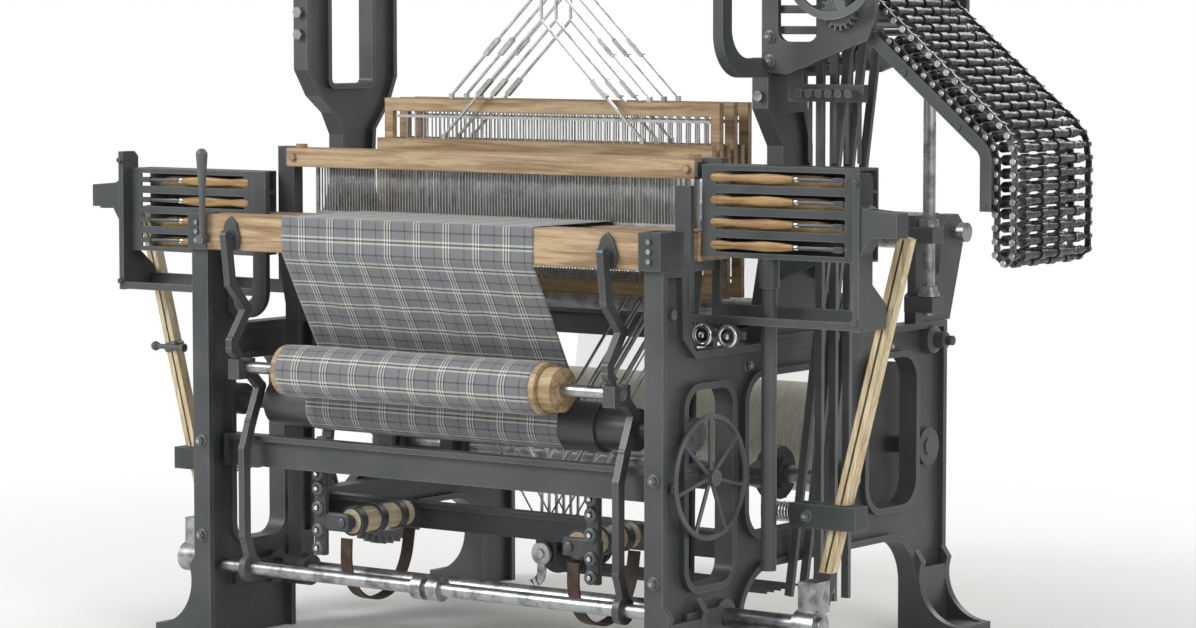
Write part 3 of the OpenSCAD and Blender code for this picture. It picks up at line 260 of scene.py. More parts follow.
# Turned or drawn steel: fine tool rings across the axis, a film of oil, grey oxide in blotches
def machinedSteel(name, into=None, tint="#b4b6b7", oxide="#77787a", rough=0.3, stretch=(1, 1, 0.04)):
    mat, tree, shader = newMaterial(name, into, Metallic=1.0)
    rings = addNode(tree, "ShaderNodeTexNoise", None, {"Scale": 1.0, "Detail": 4.0},
                    {"Vector": patternAt(tree, 1.6, stretch)})  # the tool's feed, drawn 1.6 mm wide
    stain = addNode(tree, "ShaderNodeTexNoise", None, {"Scale": 1.0, "Detail": 5.0, "Roughness": 0.6},
                    {"Vector": patternAt(tree, 34)})
    addNode(tree, "ShaderNodeValToRGB", links={"Fac": stain}, stops=[(0.34, oxide), (0.56, tint)],
            feeds=(shader, "Base Color"))
    addNode(tree, "ShaderNodeMapRange", None, {"To Min": rough + 0.16, "To Max": rough - 0.04},
            {"Value": stain}, feeds=(shader, "Roughness"))
    addNode(tree, "ShaderNodeBump", None, {"Strength": 0.3, "Distance": 0.00012}, {"Height": rings},
            feeds=(shader, "Normal"))
    return mat


# Planed hardwood, oiled by handling: growth bands along the board, long pores, corners worn dark
def planedWood(name, into=None, light="#bba381", dark="#8b6f4d", worn="#5f4933", along="X", band=18,
               rough=0.5):
    mat, tree, shader = newMaterial(name, into, IOR=1.47)
    lengthwise = {"X": (0.06, 1, 1), "Y": (1, 0.06, 1), "Z": (1, 1, 0.06)}[along]
    bands = addNode(tree, "ShaderNodeTexNoise", None, {"Scale": 1.0, "Detail": 3.0, "Distortion": 0.9},
                    {"Vector": patternAt(tree, band, lengthwise)})
    pores = addNode(tree, "ShaderNodeTexNoise", None, {"Scale": 1.0, "Detail": 5.0, "Roughness": 0.7},
                    {"Vector": patternAt(tree, 2.2, lengthwise)})  # pores drawn 2 mm wide to show
    tone = addNode(tree, "ShaderNodeValToRGB", links={"Fac": bands}, stops=[(0.32, dark), (0.6, light)])
    shade = addNode(tree, "ShaderNodeValToRGB", links={"Fac": pores}, stops=[(0.33, 0.45), (0.56, 1.0)])
    fine = addNode(tree, "ShaderNodeMix", {"data_type": "RGBA", "blend_type": "MULTIPLY"}, {"Factor": 0.55},
                   {"A": tone, "B": shade})
    addNode(tree, "ShaderNodeMix", {"data_type": "RGBA"}, {"B": colour(worn)},
            {"Factor": sharpEdgeShare(tree, 5, 0.02, 0.25), "A": fine}, feeds=(shader, "Base Color"))
    addNode(tree, "ShaderNodeMapRange", None, {"To Min": rough + 0.12, "To Max": rough - 0.1},
            {"Value": pores}, feeds=(shader, "Roughness"))
    addNode(tree, "ShaderNodeBump", None, {"Strength": 0.4, "Distance": 0.00025}, {"Height": pores},
            feeds=(shader, "Normal"))
    return mat


# Drawn rod and plate of the chain: dark scale with oil, bright where rollers and links rub
def oiledChain(name, into=None, tint="#6d6f70", scale="#3a3b3c", bright="#c3c4c4"):
    mat, tree, shader = newMaterial(name, into, Metallic=0.9)
    patch = addNode(tree, "ShaderNodeTexNoise", None, {"Scale": 1.0, "Detail": 5.0, "Roughness": 0.65},
                    {"Vector": patternAt(tree, 16)})
    tone = addNode(tree, "ShaderNodeValToRGB", links={"Fac": patch}, stops=[(0.36, scale), (0.62, tint)])
    addNode(tree, "ShaderNodeMix", {"data_type": "RGBA"}, {"B": colour(bright)},
            {"Factor": sharpEdgeShare(tree, 1.5, 0.03, 0.3), "A": tone}, feeds=(shader, "Base Color"))
    addNode(tree, "ShaderNodeMapRange", None, {"To Min": 0.5, "To Max": 0.3}, {"Value": patch},
            feeds=(shader, "Roughness"))
    addNode(tree, "ShaderNodeBump", None, {"Strength": 0.3, "Distance": 0.0003}, {"Height": patch},
            feeds=(shader, "Normal"))
    return mat


# Checked cotton in plain weave. The UV map is in metres, u across the cloth and v along it. The stripe groups
# repeat every 80 mm of warp and 54 mm of weft. Threads are drawn 2 mm wide, four times the real ones, to show
checkStyle = {"warpRepeat": 0.080, "weftRepeat": 0.054, "threadMm": 2.0, "slub": (900, 60, 1),
              "ground": "#77797c", "pale": "#d6d4ca", "dark": "#26282b"}


def checkedCotton(name, into=None, style=checkStyle):
    mat, tree, shader = newMaterial(name, into, IOR=1.45, Sheen_Weight=0.25, Sheen_Roughness=0.5,
                                    Roughness=0.86)
    uv = (addNode(tree, "ShaderNodeTexCoord"), "UV")
    axes = addNode(tree, "ShaderNodeSeparateXYZ", links={"Vector": uv})
    g, p, d = style["ground"], style["pale"], style["dark"]
    stripes = {"X": [(0.0, g), (1.0, g), (0.30, d), (0.335, g), (0.60, p), (0.645, d), (0.69, p), (0.735, d),
                     (0.78, p), (0.825, d), (0.87, g)],
               "Y": [(0.0, g), (1.0, g), (0.28, d), (0.35, g), (0.66, p), (0.74, d), (0.82, p), (0.90, g)]}
    sets = {}
    for axis, size in (("X", style["warpRepeat"]), ("Y", style["weftRepeat"])):
        turns = addNode(tree, "ShaderNodeMath", {"operation": "MULTIPLY"}, {1: 1 / size}, {0: (axes, axis)})
        part = addNode(tree, "ShaderNodeMath", {"operation": "FRACT"}, None, {0: turns})
        sets[axis] = addNode(tree, "ShaderNodeValToRGB", links={"Fac": part}, stops=stripes[axis])
        sets[axis].color_ramp.interpolation = "CONSTANT"
    k = 1000 / style["threadMm"]
    wide = addNode(tree, "ShaderNodeMapping", None, {"Scale": (k, k, k)}, {"Vector": uv})
    shares = {"Scale": 1.0, "Color1": (0.25, 0.25, 0.25, 1), "Color2": (0.75, 0.75, 0.75, 1)}
    over = addNode(tree, "ShaderNodeTexChecker", None, shares, {"Vector": wide})
    woven = addNode(tree, "ShaderNodeMix", {"data_type": "RGBA"}, None,
                    {"Factor": over, "A": sets["X"], "B": sets["Y"]})
    long = addNode(tree, "ShaderNodeMapping", None, {"Scale": style["slub"]}, {"Vector": uv})
    slub = addNode(tree, "ShaderNodeTexNoise", None, {"Scale": 1.0, "Detail": 4.0}, {"Vector": long})
    shade = addNode(tree, "ShaderNodeValToRGB", links={"Fac": slub}, stops=[(0.3, 0.55), (0.65, 1.0)])
    addNode(tree, "ShaderNodeMix", {"data_type": "RGBA", "blend_type": "MULTIPLY"}, {"Factor": 0.5},
            {"A": woven, "B": shade}, feeds=(shader, "Base Color"))
    addNode(tree, "ShaderNodeBump", None, {"Strength": 0.5, "Distance": 0.00025}, {"Height": over},
            feeds=(shader, "Normal"))
    return mat


# Cotton yarn, sized and dressed: pale and slightly hairy, wound or stretched along one axis
def cottonYarn(name, into=None, light="#d9d5c8", shade="#8e8b82", turnMm=1.4, stretch=(1, 1, 1)):
    mat, tree, shader = newMaterial(name, into, IOR=1.45, Sheen_Weight=0.2, Roughness=0.8)
    strands = addNode(tree, "ShaderNodeTexNoise", None, {"Scale": 1.0, "Detail": 4.0, "Roughness": 0.7},
                      {"Vector": patternAt(tree, turnMm, stretch)})
    addNode(tree, "ShaderNodeValToRGB", links={"Fac": strands}, stops=[(0.3, shade), (0.6, light)],
            feeds=(shader, "Base Color"))
    addNode(tree, "ShaderNodeBump", None, {"Strength": 0.6, "Distance": 0.0008}, {"Height": strands},
            feeds=(shader, "Normal"))
    return mat


# Vegetable-tanned belt leather, blackened with oil, pebbled grain
def oiledLeather(name, into=None, tint="#4f3a29", dark="#2a1f17"):
    mat, tree, shader = newMaterial(name, into, IOR=1.5, Roughness=0.55)
    grain = addNode(tree, "ShaderNodeTexVoronoi", None, {"Scale": 1.0}, {"Vector": patternAt(tree, 2)})
    patch = addNode(tree, "ShaderNodeTexNoise", None, {"Scale": 1.0, "Detail": 4.0},
                    {"Vector": patternAt(tree, 25)})
    addNode(tree, "ShaderNodeValToRGB", links={"Fac": patch}, stops=[(0.35, dark), (0.65, tint)],
            feeds=(shader, "Base Color"))
    addNode(tree, "ShaderNodeBump", None, {"Strength": 0.4, "Distance": 0.0002}, {"Height": grain},
            feeds=(shader, "Normal"))
    return mat


far = 50  # a box side this far out is open


# Two finishes on one casting or assembly: the second inside the boxes, given as (low corner, high corner) in
# metres. A box's share of a place is the product over its axes, and the boxes together take the highest share
def twoFinishes(name, first, second, boxes, secondWith=None, **firstWith):
    mat = first(name, **firstWith)
    second(name, into=mat, **(secondWith or {}))
    tree = mat.node_tree
    a, b = tree.nodes["Principled BSDF"], tree.nodes["second"]
    coords = addNode(tree, "ShaderNodeTexCoord")
    axes = addNode(tree, "ShaderNodeSeparateXYZ", links={"Vector": (coords, "Object")})
    mask = None
    for low, high in boxes:
        inside = None
        for axis, l, h in zip("XYZ", low, high):
            if h - l > far / 2:
                continue  # open on this axis
            part = addNode(tree, "ShaderNodeMath", {"operation": "COMPARE"},
                           {1: (l + h) / 2, 2: (h - l) / 2}, {0: (axes, axis)})
            if inside:
                part = addNode(tree, "ShaderNodeMath", {"operation": "MULTIPLY"}, None, {0: inside, 1: part})
            inside = part
        if mask:
            inside = addNode(tree, "ShaderNodeMath", {"operation": "MAXIMUM"}, None, {0: mask, 1: inside})
        mask = inside
    sockets = {"Base Color": "RGBA", "Roughness": "FLOAT", "Metallic": "FLOAT", "Normal": "VECTOR"}
    for socket, kind in sockets.items():
        mix = addNode(tree, "ShaderNodeMix", {"data_type": kind}, None, {"Factor": mask})
        for side, shader in (("A", a), ("B", b)):
            into = socketOf(mix.inputs, side)
            if shader.inputs[socket].is_linked:
                tree.links.new(shader.inputs[socket].links[0].from_socket, into)
            elif socket == "Normal":
                tree.links.new(addNode(tree, "ShaderNodeNewGeometry").outputs["Normal"], into)
            else:
                into.default_value = shader.inputs[socket].default_value
        tree.links.new(next(o for o in mix.outputs if o.enabled), a.inputs[socket])
    tree.nodes.remove(b)
    return mat


iron = japannedIron("cast iron, japanned black")
# Lighter japanned iron for handled parts: its brighter edges are partly wear and partly a painted highlight
ironWornPaintedHighlight = japannedIron("cast iron, japanned, handled_with_painted_edge_highlight", tint="#414547", edgeWornAndHighlightTone="#a2a4a5", dust="#5c5f5f")
shaftSteel = machinedSteel("steel shafting, turned", stretch=(1, 0.06, 0.06))
rodSteel = machinedSteel("steel rod, drawn")
wireSteel = machinedSteel("steel wire, tinned", tint="#c6c8c9", oxide="#9a9c9d", rough=0.34,
                          stretch=(1, 1, 0.02))
chainIron = oiledChain("chain iron, oiled")
maple = planedWood("maple, planed and oiled")
cotton = checkedCotton("cotton check, woven on the loom")
warpYarn = cottonYarn("cotton warp, sized", turnMm=2.0, stretch=(1, 0.05, 0.05))
leather = oiledLeather("belt leather, oiled")
brightSteel = machinedSteel("steel, polished by use", tint="#d9dadb", oxide="#b9babb", rough=0.2,
                            stretch=(0.06, 1, 1))
eyeSteel = machinedSteel("steel pins, worn bright", tint="#cfd0d1", oxide="#8f9091", rough=0.28)
spindleWood = planedWood("boxwood spindles, turned", light="#b08d5c", dark="#7a5a35", worn="#57402a", band=9)
paleWood = planedWood("maple rollers, turned and bare", light="#dccfae", dark="#bda67d", worn="#8a734f",
                      along="Y")
shuttleWood = twoFinishes(
    "boxwood shuttles with steel tips", planedWood, machinedSteel,
    [((s * x - 0.02, -far, -far), (s * x + 0.02, far, far)) for s in (-1, 1) for x in (0.628, 0.964)],
    light="#c9ab76", dark="#96733f", worn="#6d5230", band=12, rough=0.32)
beamCasting = twoFinishes("breast beam, maple with iron ends", planedWood, japannedIron,
                          [((0.582, -far, -far), (0.7, far, far)), ((-0.7, -far, -far), (-0.582, far, far))])
beamYarn = twoFinishes("warp wound on the beam, iron flanges", cottonYarn, japannedIron,
                       [((s * 0.6 - 0.088, -far, -far), (s * 0.6 + 0.088, far, far)) for s in (-1, 1)],
                       shade="#aba89d", turnMm=2.0, stretch=(1, 0.06, 0.06))
rollEnds = twoFinishes("cloth roll, maple with steel gudgeons", planedWood, machinedSteel,
                       [((0.371, -far, -far), (0.7, far, far)), ((-0.7, -far, -far), (-0.381, far, far))],
                       secondWith={"stretch": (1, 0.06, 0.06)})
stickWood = twoFinishes("hickory picking sticks, iron shoes", planedWood, japannedIron,
                        [((-far, -far, 0.0), (far, far, 0.245)), ((-far, -far, 0.334), (far, far, 0.388))],
                        light="#d9c9a6", dark="#b39a70", worn="#83694a", along="Z", band=14)
nodeFinish = {
    "breast_beam": beamCasting, "warp_beam": beamYarn, "cloth_roll": rollEnds, "stick_left": stickWood,
    "stick_right": stickWood, "shuttles_left": shuttleWood, "shuttles_right": shuttleWood,
    "pattern_chain": chainIron, "lay_beam": maple, "hand_rail": maple, "reed": wireSteel,
    "crank_shaft": shaftSteel, "cam_shaft": shaftSteel, "rocker_shaft": shaftSteel, "tie_shaft": shaftSteel,
    "whip_roll": shaftSteel, "upright_shaft": rodSteel, "frame_bolts": rodSteel, "hand_wheel": ironWornPaintedHighlight,
    "shipper_handle": ironWornPaintedHighlight, "head_gear": ironWornPaintedHighlight, "crank_gear": ironWornPaintedHighlight, "cam_gear": ironWornPaintedHighlight,
    "drive_pulley": ironWornPaintedHighlight, "chain_cylinder": ironWornPaintedHighlight, "cloth": cotton, "warp_yarns": warpYarn}

# The harness frames, each with its jack: at rest 2, 4 and 6 stand up by the lift. Their bars are maple, half
# and inner giving the side bars' faces in X, and what they hold is wire
harnessStyle = {"count": 6, "top": 1.107, "lift": 0.09, "tall": 0.33, "bar": 0.03, "half": 0.461,
                "inner": 0.43}


def frameLift(k, style=harnessStyle):
    return style["lift"] * (k % 2)


def makeHarnessFinish(k, style=harnessStyle):
    top = style["top"] + frameLift(k)
    low = top - style["tall"]
    bar, half, inner = style["bar"], style["half"], style["inner"]
    wood = [((-half, -far, top - bar), (half, far, top)), ((-half, -far, low), (half, far, low + bar)),
            ((-half, -far, low), (-inner, far, top)), ((inner, -far, low), (half, far, top))]
    return twoFinishes(f"harness {k + 1}, maple frame with tinned wires", machinedSteel, planedWood, wood,
                       tint="#c6c8c9", oxide="#9a9c9d", rough=0.34)


for k in range(harnessStyle["count"]):
    # Jacks take the lighter iron, so their edges carry the painted highlight
    nodeFinish[f"jack_{k + 1}"] = ironWornPaintedHighlight
    nodeFinish[f"harness_{k + 1}"] = makeHarnessFinish(k)
for name, piece in nodes.items():
    finish = nodeFinish.get(name, iron)
    if not piece.material_slots:
        piece.data.materials.append(finish)
    for part in piece.material_slots:
        part.material = finish
print("power loom: finishes ready,", len(bpy.data.materials), "materials")


# The photograph's camera: placed and aimed from the vanishing points and feet of the engraving
lens = {"place": (4.9835, -6.798, 1.395), "azimuth": 36, "pixels": 3778, "width": 1196, "height": 628,
        "horizon": 10, "sensorMm": 36, "reach": 100}


def makeCamera(style=lens):
    data = bpy.data.cameras.new("camera")
    data.sensor_width = style["sensorMm"]
    data.lens = style["sensorMm"] * style["pixels"] / style["width"]
    data.clip_end = style["reach"]
    camera = bpy.data.objects.new("camera", data)
    bpy.context.scene.collection.objects.link(camera)
    camera.location = style["place"]
    down = math.atan((style["height"] / 2 - style["horizon"]) / style["pixels"])
    camera.rotation_euler = (math.pi / 2 - down, 0, math.radians(style["azimuth"]))
    bpy.context.scene.camera = camera


# Plain studio: white floor and world for the camera, soft area lamps at the level of the hex colours. A
# lamp is (place, width, power), and the floor turns white for the camera between the two distances
studio = {"floor": "#e9e9e7", "world": 0.55, "half": 14.0, "below": 0.0005, "whiteFrom": 1.0, "whiteTo": 3.4,
          "lamps": {"key": ((-3.2, -5.0, 4.6), 3.2, 330), "fill": ((5.6, -2.4, 3.0), 3.0, 120),
                    "back": ((1.0, 4.8, 4.6), 3.6, 150)}, "aim": (0, 0, 0.8)}


def makeStudio(style=studio):
    scene = bpy.context.scene
    scene.view_settings.view_transform = "Standard"
    world = bpy.data.worlds.new("studio")
    scene.world = world
    world.use_nodes = True
    tree = world.node_tree
    tree.nodes.clear()
    path = addNode(tree, "ShaderNodeLightPath")
    seen = addNode(tree, "ShaderNodeMath", {"operation": "MAXIMUM"}, None,
                   {0: (path, "Is Camera Ray"), 1: (path, "Is Transmission Ray")})
    level = addNode(tree, "ShaderNodeMapRange", None, {"To Min": style["world"], "To Max": 1.0},
                    {"Value": seen})
    sky = addNode(tree, "ShaderNodeBackground", None, {"Color": (1, 1, 1, 1)}, {"Strength": level})
    addNode(tree, "ShaderNodeOutputWorld", links={"Surface": sky})
    x, y = np.meshgrid([-style["half"], style["half"]], [-style["half"], style["half"]])
    corners = np.stack([x.ravel(), y.ravel(), np.full(4, -style["below"])], 1)
    mesh = bpy.data.meshes.new("floor")
    mesh.from_pydata(corners.tolist(), [], [(0, 1, 3, 2)])
    floor = bpy.data.objects.new("floor", mesh)
    scene.collection.objects.link(floor)
    mat, tree, shader = newMaterial("studio floor, matt paint", Roughness=0.9)
    path = addNode(tree, "ShaderNodeLightPath")
    coords = addNode(tree, "ShaderNodeTexCoord")
    away = addNode(tree, "ShaderNodeVectorMath", {"operation": "LENGTH"}, None, {0: (coords, "Object")})
    edge = addNode(tree, "ShaderNodeMapRange", {"interpolation_type": "SMOOTHSTEP"},
                   {"From Min": style["whiteFrom"], "From Max": style["whiteTo"]}, {"Value": (away, "Value")})
    shader.inputs["Base Color"].default_value = colour(style["floor"])
    white = addNode(tree, "ShaderNodeEmission", None, {"Color": (1, 1, 1, 1), "Strength": 1.0})
    seen = addNode(tree, "ShaderNodeMath", {"operation": "MULTIPLY"}, None,
                   {0: edge, 1: (path, "Is Camera Ray")})
    out = next(n for n in tree.nodes if n.type == "OUTPUT_MATERIAL")
    both = addNode(tree, "ShaderNodeMixShader", links={0: seen, 1: shader, 2: white})
    tree.links.new(both.outputs[0], out.inputs["Surface"])
    mesh.materials.append(mat)
    for name, (place, width, power) in style["lamps"].items():
        light = bpy.data.lights.new(name, "AREA")
        light.shape, light.size, light.energy = "DISK", width, power
        lamp = bpy.data.objects.new(name, light)
        scene.collection.objects.link(lamp)
        lamp.location = place
        aim = np.array(style["aim"]) - np.array(place)
        flat = math.hypot(aim[0], aim[1])
        lamp.rotation_euler = (math.atan2(flat, -aim[2]), 0, math.atan2(aim[1], aim[0]) - math.pi / 2)


makeCamera()
makeStudio()
print("power loom: camera and studio ready")


# The cloth: over the breast beam, down its face, slanting to the take-up roll, round under it and up
# between the rolls to the cloth roll. Its path is in Y and Z, and each roll is (y, z, radius). The width
# narrows by the sine of the way along, where the selvedges draw in, and the free run below the beam ripples
# in two sine waves
clothStyle = {"left": -0.368, "right": 0.320, "thickness": 0.0008, "fellY": -0.3325, "top": 0.9502,
              "frontY": -0.6012, "edgeZ": 0.871, "corner": 0.006, "step": 0.012, "columns": 87,
              "wrapPoints": 26, "tailPoints": 7,
              "takeUp": (-0.470, 0.530, 0.0528), "roll": (-0.570, 0.614, 0.0568),
              "drawIn": 0.004, "ripple": 0.0012, "freeAt": 0.50, "freeLong": 0.10}


def clothPath(style=clothStyle):
    ya, za, ra = style["takeUp"]
    yb, zb, rb = style["roll"]
    edge = np.array([style["frontY"], style["edgeZ"]])
    gap = np.array([ya, za]) - edge
    reach = np.linalg.norm(gap)
    onTo = math.atan2(gap[1], gap[0]) + math.asin(ra / reach) + math.pi / 2  # where it touches, rear side
    across = np.array([yb - ya, zb - za])
    off = math.atan2(across[1], across[0]) + math.acos((ra + rb) / np.linalg.norm(across))
    turn = np.linspace(onTo, off - 2 * math.pi if off > onTo else off, style["wrapPoints"])
    wrap = np.stack([ya + ra * np.cos(turn), za + ra * np.sin(turn)], 1)
    end = np.array([yb - rb * math.cos(off), zb - rb * math.sin(off)])
    lead = roundedPath([(style["fellY"], style["top"]), (style["frontY"], style["top"]), edge, wrap[0]],
                       style["corner"], style["step"])
    tail = wrap[-1] + np.linspace(0, 1, style["tailPoints"])[1:, None] * (end - wrap[-1])
    return np.concatenate([lead, wrap[1:], tail])


def makeCloth(style=clothStyle):
    path = clothPath(style)
    along = np.concatenate([[0], np.cumsum(np.linalg.norm(np.diff(path, axis=0), axis=1))])
    v, u = np.meshgrid(along, np.linspace(0, 1, style["columns"]), indexing="ij")
    draw = style["drawIn"] * np.sin(np.pi * v / along[-1])
    width = style["right"] - style["left"]
    x = style["left"] + draw + u * (width - 2 * draw)
    run = np.gradient(path, axis=0)
    run /= np.linalg.norm(run, axis=1, keepdims=True)
    normal = np.stack([run[:, 1], -run[:, 0]], 1)
    free = np.exp(-((along - style["freeAt"]) / style["freeLong"]) ** 2)[:, None]
    wave = style["ripple"] * free * (np.sin(9 * np.pi * u + 5 * v) + 0.6 * np.sin(23 * np.pi * u - 9 * v))
    y = path[:, :1] + normal[:, :1] * wave
    z = path[:, 1:] + normal[:, 1:] * wave
    piece = addPiece("clothSheet", np.stack([x, y, z], 2), gridFaces(*x.shape), cotton, "frame",
                     uv=np.stack([(u * width).ravel(), v.ravel()], 1))
    thick = piece.modifiers.new("thickness", "SOLIDIFY")
    thick.thickness, thick.offset = style["thickness"], 0
    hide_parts("cloth")


# Cloth wound on its roll: the radius grows by one cloth thickness a turn and swells by the sine of the
# place along X, between the stripe groups. On the ends the place along X follows the sine of the radius,
# which shows the wound layers as rings, and the check runs endCheck times as fast there. A row of the grid
# is one ring round the roll
woundStyle = {"inner": 0.036, "inset": 0.001, "rings": 60, "endRings": 6, "sides": 96,
              "start": math.radians(-6), "swell": 0.0005, "swellEvery": 0.086, "layer": 0.0012,
              "layerTurn": 2400, "endCheck": 9}


def makeWoundCloth(style=woundStyle, cloth=clothStyle):
    yb, zb, rb = cloth["roll"]
    rings, more = style["rings"], style["endRings"]
    turn = np.linspace(0, 2 * np.pi, style["sides"] + 1)
    across = np.linspace(cloth["left"] + style["inset"], cloth["right"] - style["inset"], rings)
    x = np.concatenate([[across[0]] * more, across, [across[-1]] * more])
    rise = np.linspace(style["inner"], rb, more + 1)[:-1]
    fall = np.linspace(rb, style["inner"], more + 1)[1:]
    core = np.concatenate([rise, np.full(rings, rb), fall])
    ends = core != rb
    grown = cloth["thickness"] * (turn / (2 * np.pi) - 1)[None]
    swell = style["swell"] * np.sin(2 * np.pi * x / style["swellEvery"])[:, None] * ~ends[:, None]
    r = core[:, None] + grown + swell
    y = yb + r * np.cos(turn + style["start"])[None]
    z = zb + r * np.sin(turn + style["start"])[None]
    along = x[:, None] + style["layer"] * np.sin(core * style["layerTurn"])[:, None] * ends[:, None]
    u, v = np.broadcast_arrays((x - cloth["left"])[:, None], turn[None] * rb)
    uv = np.stack([u, v], 2)
    uv[ends, :, 1] = (core[ends] * style["endCheck"])[:, None]
    faces = gridFaces(len(x), len(turn))[:, ::-1]
    addPiece("woundCloth", np.stack([np.broadcast_to(along, y.shape), y, z], 2), faces, cotton, "cloth_beam",
             uv=uv.reshape(-1, 2))


# Warp: threads 2 mm apart from the fell through the reed and the eyes of the six harness frames, over the
# whip roll and down to the beam. A thread is a small polygon carried along its path: two straight runs that
# meet at the eye, an arc over the whip roll and a straight run to the beam. Each run meets its frame's eye at
# the height where that frame stands at rest. Rolls are (y, z, radius)
warpStyle = {"pitch": 0.002, "radius": 0.00032, "left": -0.366, "right": 0.318, "fell": (-0.331, 0.9506),
             "firstY": -0.150, "pitchY": 0.027, "eyeZ": 0.942, "points": 9, "whip": (0.56, 0.896, 0.0425),
             "overWhip": (96, 6), "beam": (0.45, 0.42, 0.1252), "onBeam": 0.02, "spread": 0.24,
             "spreadFrom": 0.06}


# The places along X of the threads in frame k, and the frame's own y and eye height at rest
def warpAt(k, style=warpStyle):
    count = int((style["right"] - style["left"]) / style["pitch"])
    x = style["left"] + (np.arange(count) + 0.5) * style["pitch"]
    return x[k::harnessStyle["count"]], style["firstY"] + k * style["pitchY"], style["eyeZ"] + frameLift(k)


def makeWarp(style=warpStyle):
    yw, zw, rw = style["whip"]
    yb, zb, rb = style["beam"]
    fell, points = np.array(style["fell"]), style["points"]
    way = np.linspace(0, 1, points)[:, None]
    turn = np.radians(np.linspace(*style["overWhip"], points))
    bend = np.stack([yw + rw * np.cos(turn), zw + rw * np.sin(turn)], 1)
    for k in range(harnessStyle["count"]):
        x, y, z = warpAt(k)
        eye, body = np.array([y, z]), f"harness{k + 1}"
        front = fell + way * (eye - fell)
        rise = eye + way * (bend[0] - eye)
        rear = np.concatenate([rise, bend[1:], [[yb + rb, zb + style["onBeam"]]]])
        # Behind the last frame the warp widens towards the beam, by its share of the length that is left
        gone = np.concatenate([[0], np.cumsum(np.linalg.norm(np.diff(rear, axis=0), axis=1))])
        gone -= np.interp(style["spreadFrom"], rear[:points, 0], gone[:points])
        spread = 1 + style["spread"] * np.maximum(gone, 0) / gone[-1]
        runs = {"Front": (front, np.ones(points), front, ("frame", body)),
                "Rear": (rear, spread, rise, (body, "frame"))}
        for part, (path, wide, bent, bodies) in runs.items():
            paths = np.zeros((len(x), len(path), 3))
            paths[:, :, 0] = x[:, None] * wide
            paths[:, :, 1:] = path
            piece = addThreads(f"warp{part}{k + 1}", paths, style["radius"], warpYarn, None, 3)
            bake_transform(piece)
            if part == "Front" and k == 0:
                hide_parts("warp_yarns")


makeCloth()
makeWoundCloth()
makeWarp()
print("power loom: cloth and warp ready")


# Reed wires between the CAD's wider ones, 2 mm apart as the warp is, each carried straight up from rib to
# rib. The CAD has every fourth one
reedStyle = {"pitch": 0.002, "half": 0.468, "low": 0.944, "high": 1.060, "y": -0.327, "radius": 0.0004,
             "every": 4}


def makeReed(style=reedStyle):
    count = round(style["half"] / style["pitch"])
    x = np.arange(-count, count + 1)
    x = x[x % style["every"] != 0] * style["pitch"]
    paths = np.zeros((len(x), 2, 3))
    paths[:, :, 0] = x[:, None]
    paths[:, :, 1] = style["y"]
    paths[:, :, 2] = [style["low"], style["high"]]
    addThreads("reedWires", paths, style["radius"], wireSteel, "lay", 4)


# Wire heddles with an eye for each warp thread: two wires part into a lens-shaped eye at the middle and
# close again. Its half width goes with the cosine, over a quarter turn up and down, and turn sets it askew
heddleStyle = {"radius": 0.00035, "eye": 0.0022, "eyeTall": 0.014, "half": 0.141, "points": 7, "turn": 0.35}


def makeHeddles(style=heddleStyle):
    up = np.linspace(-1, 1, style["points"])
    heights = np.concatenate([[-style["half"]], up * style["eyeTall"] / 2, [style["half"]]])
    wide = np.concatenate([[0], style["eye"] / 2 * np.cos(up * np.pi / 2), [0]])
    for k in range(harnessStyle["count"]):
        x, y, z = warpAt(k)
        paths = np.zeros((2 * len(x), len(heights), 3))
        for i, side in enumerate((-1, 1)):
            paths[i::2, :, 0] = x[:, None] + side * wide * style["turn"]
            paths[i::2, :, 1] = y + side * wide
            paths[i::2, :, 2] = z + heights
        addThreads(f"heddles{k + 1}", paths, style["radius"], wireSteel, f"harness{k + 1}", 3)


makeReed()
makeHeddles()
print("power loom: reed and heddles ready")


# Spindle springs on the front of the shuttle boxes: in each cell a turned swell, a polished rod with a ball
# at its inner end and a square stop. Each is a profile carried round the cell's rod, as (share of the cell,
# radius)
boxStyle = {"inner": 0.606, "outer": 0.986, "y": -0.407, "low": {1: 0.891, -1: 0.845}, "cells": 4,
            "cell": 0.046, "shelf": 0.005, "rod": 0.020, "flat": 0.56,
            "swell": [(0.055, 0.0066), (0.07, 0.0098), (0.13, 0.0090), (0.20, 0.0070), (0.30, 0.0085),
                      (0.40, 0.0108), (0.50, 0.0092), (0.56, 0.0070), (0.58, 0.0064)],
            "polished": [(0.58, 0.0040), (0.585, 0.0052), (0.60, 0.0062), (0.615, 0.0052), (0.62, 0.0036),
                         (0.63, 0.0044), (0.83, 0.0044), (0.835, 0.0036)],
            "stop": [(0.835, 0.0045), (0.84, 0.0085), (0.90, 0.0085), (0.905, 0.0050), (0.925, 0.0050)]}


def makeBoxFronts(style=boxStyle):
    long, flat = style["outer"] - style["inner"], style["flat"]
    parts = {"swell": (spindleWood, "boxwood", 16, flat), "polished": (brightSteel, "steel", 14, flat),
             "stop": (iron, "steel", 4, 1)}
    up = style["shelf"] + np.arange(style["cells"]) * style["cell"] + style["rod"]
    for s, body, side in ((1, "boxes_r", "Right"), (-1, "boxes_l", "Left")):
        places = np.zeros((style["cells"], 3)) + (s * style["inner"], style["y"], 0)
        places[:, 2] = style["low"][s] + up
        for part, (finish, slotName, sides, squeeze) in parts.items():
            profile = np.array(style[part]) * (long, 1)
            addTurned(f"box{part.capitalize()}{side}", places, (s, 0, 0), profile, finish, body,
                      sides, squeeze, math.pi / 4)


